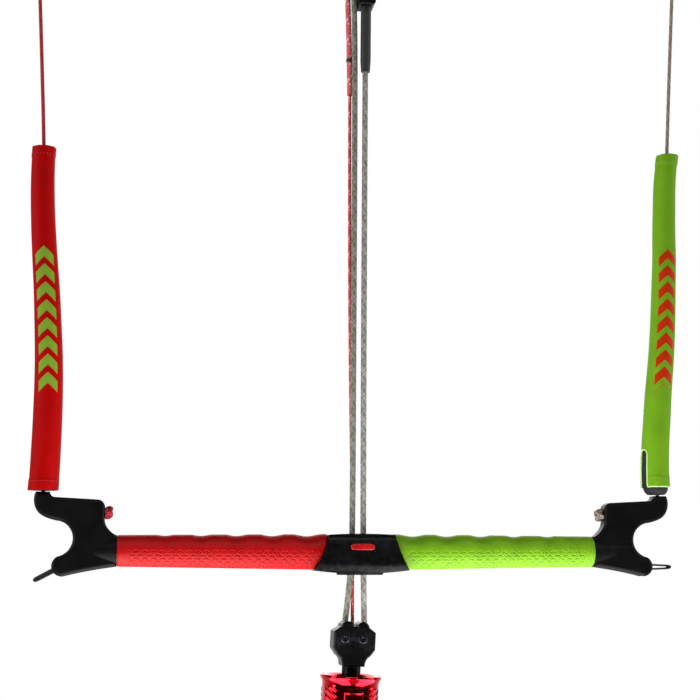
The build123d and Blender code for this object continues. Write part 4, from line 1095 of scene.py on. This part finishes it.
def handle_profile():
    """Half section of the handle in mm: outside from rim to foot, then up the bore."""
    heights = np.arange(HANDLE_TOP - 8.8, HANDLE_LOW + 9.0, -0.5)
    bow = 0.25 * np.sin(np.pi * (heights - heights[0]) / (heights[-1] - heights[0]))
    outside = [(HANDLE_RIM - 2.4, HANDLE_TOP - 0.1), (HANDLE_RIM - 1.5, HANDLE_TOP),
               (HANDLE_RIM - 0.6, HANDLE_TOP - 0.4), (HANDLE_RIM - 0.1, HANDLE_TOP - 1.2),
               (HANDLE_RIM, HANDLE_TOP - 2.0),
               (HANDLE_RIM - 0.4, HANDLE_TOP - 3.0), (HANDLE_RIM - 1.2, HANDLE_TOP - 4.0),
               (HANDLE_RADIUS + 0.3, HANDLE_TOP - 5.6), (HANDLE_RADIUS, HANDLE_TOP - 7.4)]
    body = list(zip(HANDLE_RADIUS - bow, heights))
    foot = [(HANDLE_RADIUS, HANDLE_LOW + 8), (HANDLE_RADIUS + 0.3, HANDLE_LOW + 5),
            (HANDLE_RADIUS + 1.1, HANDLE_LOW + 2.4), (HANDLE_RIM - 0.4, HANDLE_LOW + 0.9),
            (HANDLE_RIM - 1.0, HANDLE_LOW), (HANDLE_BORE + 0.8, HANDLE_LOW), (HANDLE_BORE, HANDLE_LOW + 0.8)]
    bore = [(HANDLE_BORE, -95.0), (12.2, -95.2), (12.2, -92.0), (HANDLE_BORE, -91.8), (HANDLE_BORE, -62.0),
            (HANDLE_BORE, HANDLE_TOP - 4.4), (HANDLE_BORE + 0.5, HANDLE_TOP - 3.6)]
    return np.array(outside + body + foot + bore)


def handle_mesh():
    profile = handle_profile()
    columns = 300
    turn = round_turn(columns)
    radius, height = profile[:, :1], profile[:, 1:]
    facing = (turn - 1.5 * np.pi + np.pi) % (2 * np.pi) - np.pi
    across = (facing * HANDLE_RADIUS)[None, :]
    outside = radius > HANDLE_RADIUS - 0.6
    from_frame = np.maximum(np.abs(across) - 7.2, np.abs(height + 69.0) - 11.0)
    raised = 0.5 * np.exp(-(from_frame / 0.55) ** 4)
    for flip in (-1, 1):
        beside = flip * across
        lane = 1 / (1 + np.exp((np.abs(beside - 22.5) - 7.0) / 0.4))
        tall = 1 / (1 + np.exp((np.abs(height + 75.0) - 20.0) / 0.5))
        slope = np.cos(2 * np.pi * (height - 0.75 * beside) / 5.2)
        raised = raised + 0.75 * lane * tall * np.clip(slope, 0, 1) ** 1.5
        lane = 1 / (1 + np.exp((np.abs(beside - 52.0) - 12.0) / 0.4))
        raised = raised + 0.75 * lane * tall * np.clip(slope, 0, 1) ** 1.5
    reach = (radius + np.where(outside, raised, 0.0)) * MM
    rings = on_release(reach * np.cos(turn)[None, :], reach * np.sin(turn)[None, :],
                       np.broadcast_to(height * MM, reach.shape))
    run = np.concatenate([[0], np.cumsum(np.linalg.norm(np.diff(profile, axis=0), axis=1))]) * MM
    return skin("handle_shell", rings, np.linspace(0, 0.15, columns + 1), run, looped=True)


def glossy_red():
    """Red anodised alloy, polished under a clear film, with a few fine hairline scratches."""
    finish, tree, sockets = start_finish("glossy_red_handle", Coat_Roughness=0.05, Metallic=1.0)
    grain = shared(tree, moulding_grain, 700.0, 40.0)
    worn = shared(tree, edge_wear, 0.3)["Worn"]
    ground = blend_colours(tree, spread(tree, grain["Patch"], 0.3, 0.7, 0.0, 1.0), paint(205, 8, 22),
                           paint(226, 18, 36))
    gloss = sum_of(tree, "ADD", spread(tree, grain["Patch"], 0.3, 0.7, 0.06, 0.1),
                   times(tree, grain["Scuff"], 0.08))
    tree.links.new(spread(tree, grain["Patch"], 0.2, 0.8, 0.12, 0.05), sockets["Coat Weight"])
    wire(tree, sockets, blend_colours(tree, times(tree, worn, 0.35), ground, paint(226, 120, 120)),
         gloss, grain["Patch"], 0.12, 0.4 * MM)
    return finish


fit_piece("handle_shell", handle_mesh(), "handle", glossy_red(), "red_handle", "release_handle")
for node in ("head_front_shell", "head_back_shell", "release_body", "swivel_stem"):
    dress(node, satin_nylon)


COIL_TURNS = 6
COIL_RADIUS, COIL_WIRE = 14.2 * MM, 1.15 * MM
COIL_LEVELS = (-90.6, -88.15, -65.85, -63.4)


def coil_mesh():
    """Round wire coiled inside the handle, from its ledge up to the collar; the end turns lie close."""
    turns = np.linspace(0, COIL_TURNS, 60 * COIL_TURNS)
    height = np.interp(turns, [0, 1, COIL_TURNS - 1, COIL_TURNS], COIL_LEVELS) * MM
    turn = 2 * np.pi * turns
    line = on_release(COIL_RADIUS * np.cos(turn), COIL_RADIUS * np.sin(turn), height)
    return skin("release_coil", rod(line, COIL_WIRE, 14), np.linspace(0, 0.0075, 15),
                2 * np.pi * COIL_RADIUS * turns)


coil = bpy.data.objects.new("release_coil", coil_mesh())
bpy.context.scene.collection.objects.link(coil)
coil.data.materials.append(stainless)
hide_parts("release_spring")
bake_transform(coil)


def make_socket_heads():
    """Button heads with a hexagon socket, seated on the head's pins at the front and the back."""
    turn = round_turn(48)
    hexagon = math.cos(math.pi / 6) / np.cos((turn + math.pi / 6) % (math.pi / 3) - math.pi / 6)
    made = []
    for x in (-8.2, 7.0):
        for face in (-1, 1):
            seat = 13.0 * MM
            steps = [(wide * np.ones(48), out)
                     for wide, out in ((3.9, -0.4), (3.9, 0.3), (3.6, 0.75), (2.9, 1.05))]
            steps += [(wide * hexagon, out) for wide, out in ((1.75, 1.1), (1.65, 1.0), (1.6, -0.2))]
            rings = [on_release(x * MM + wide * np.cos(turn) * MM, face * (seat + out * MM) + 0 * turn,
                                -14.4 * MM + wide * np.sin(turn) * MM) for wide, out in steps]
            made.append(rings)
    return made


for number, rings in enumerate(make_socket_heads()):
    name = f"head_screw_{number + 1}"
    fit_piece(name, skin(name, rings, np.linspace(0, 0.02, 49), np.linspace(0, 0.006, 7)), "trim_lines",
              blacked_steel, "black_alloy")


# ==== Harness loop and locking finger =========================================================
# The chicken loop is a rope core in a thick smooth rubber tube, hinged on a pin in the release
# body; the locking finger is a stiff nylon tongue that keeps the hook from slipping out.
def rubber_cover():
    """Extruded rubber tube: dull black with rubbed, slightly shiny patches."""
    finish, tree, sockets = start_finish("rubber_loop_cover", Specular_IOR_Level=0.4)
    grain = shared(tree, moulding_grain, 900.0, 50.0)
    ground = blend_colours(tree, grain["Patch"], paint(12, 12, 13), paint(34, 34, 36))
    scuffed = times(tree, grain["Scuff"], 0.2)
    wire(tree, sockets, blend_colours(tree, scuffed, ground, paint(110, 108, 104)),
         spread(tree, grain["Patch"], 0.3, 0.7, 0.7, 0.48), grain["Height"], 0.3, 0.15 * MM)
    return finish


dress("harness_loop", rubber_cover())
dress("loop_finger", matt_nylon)
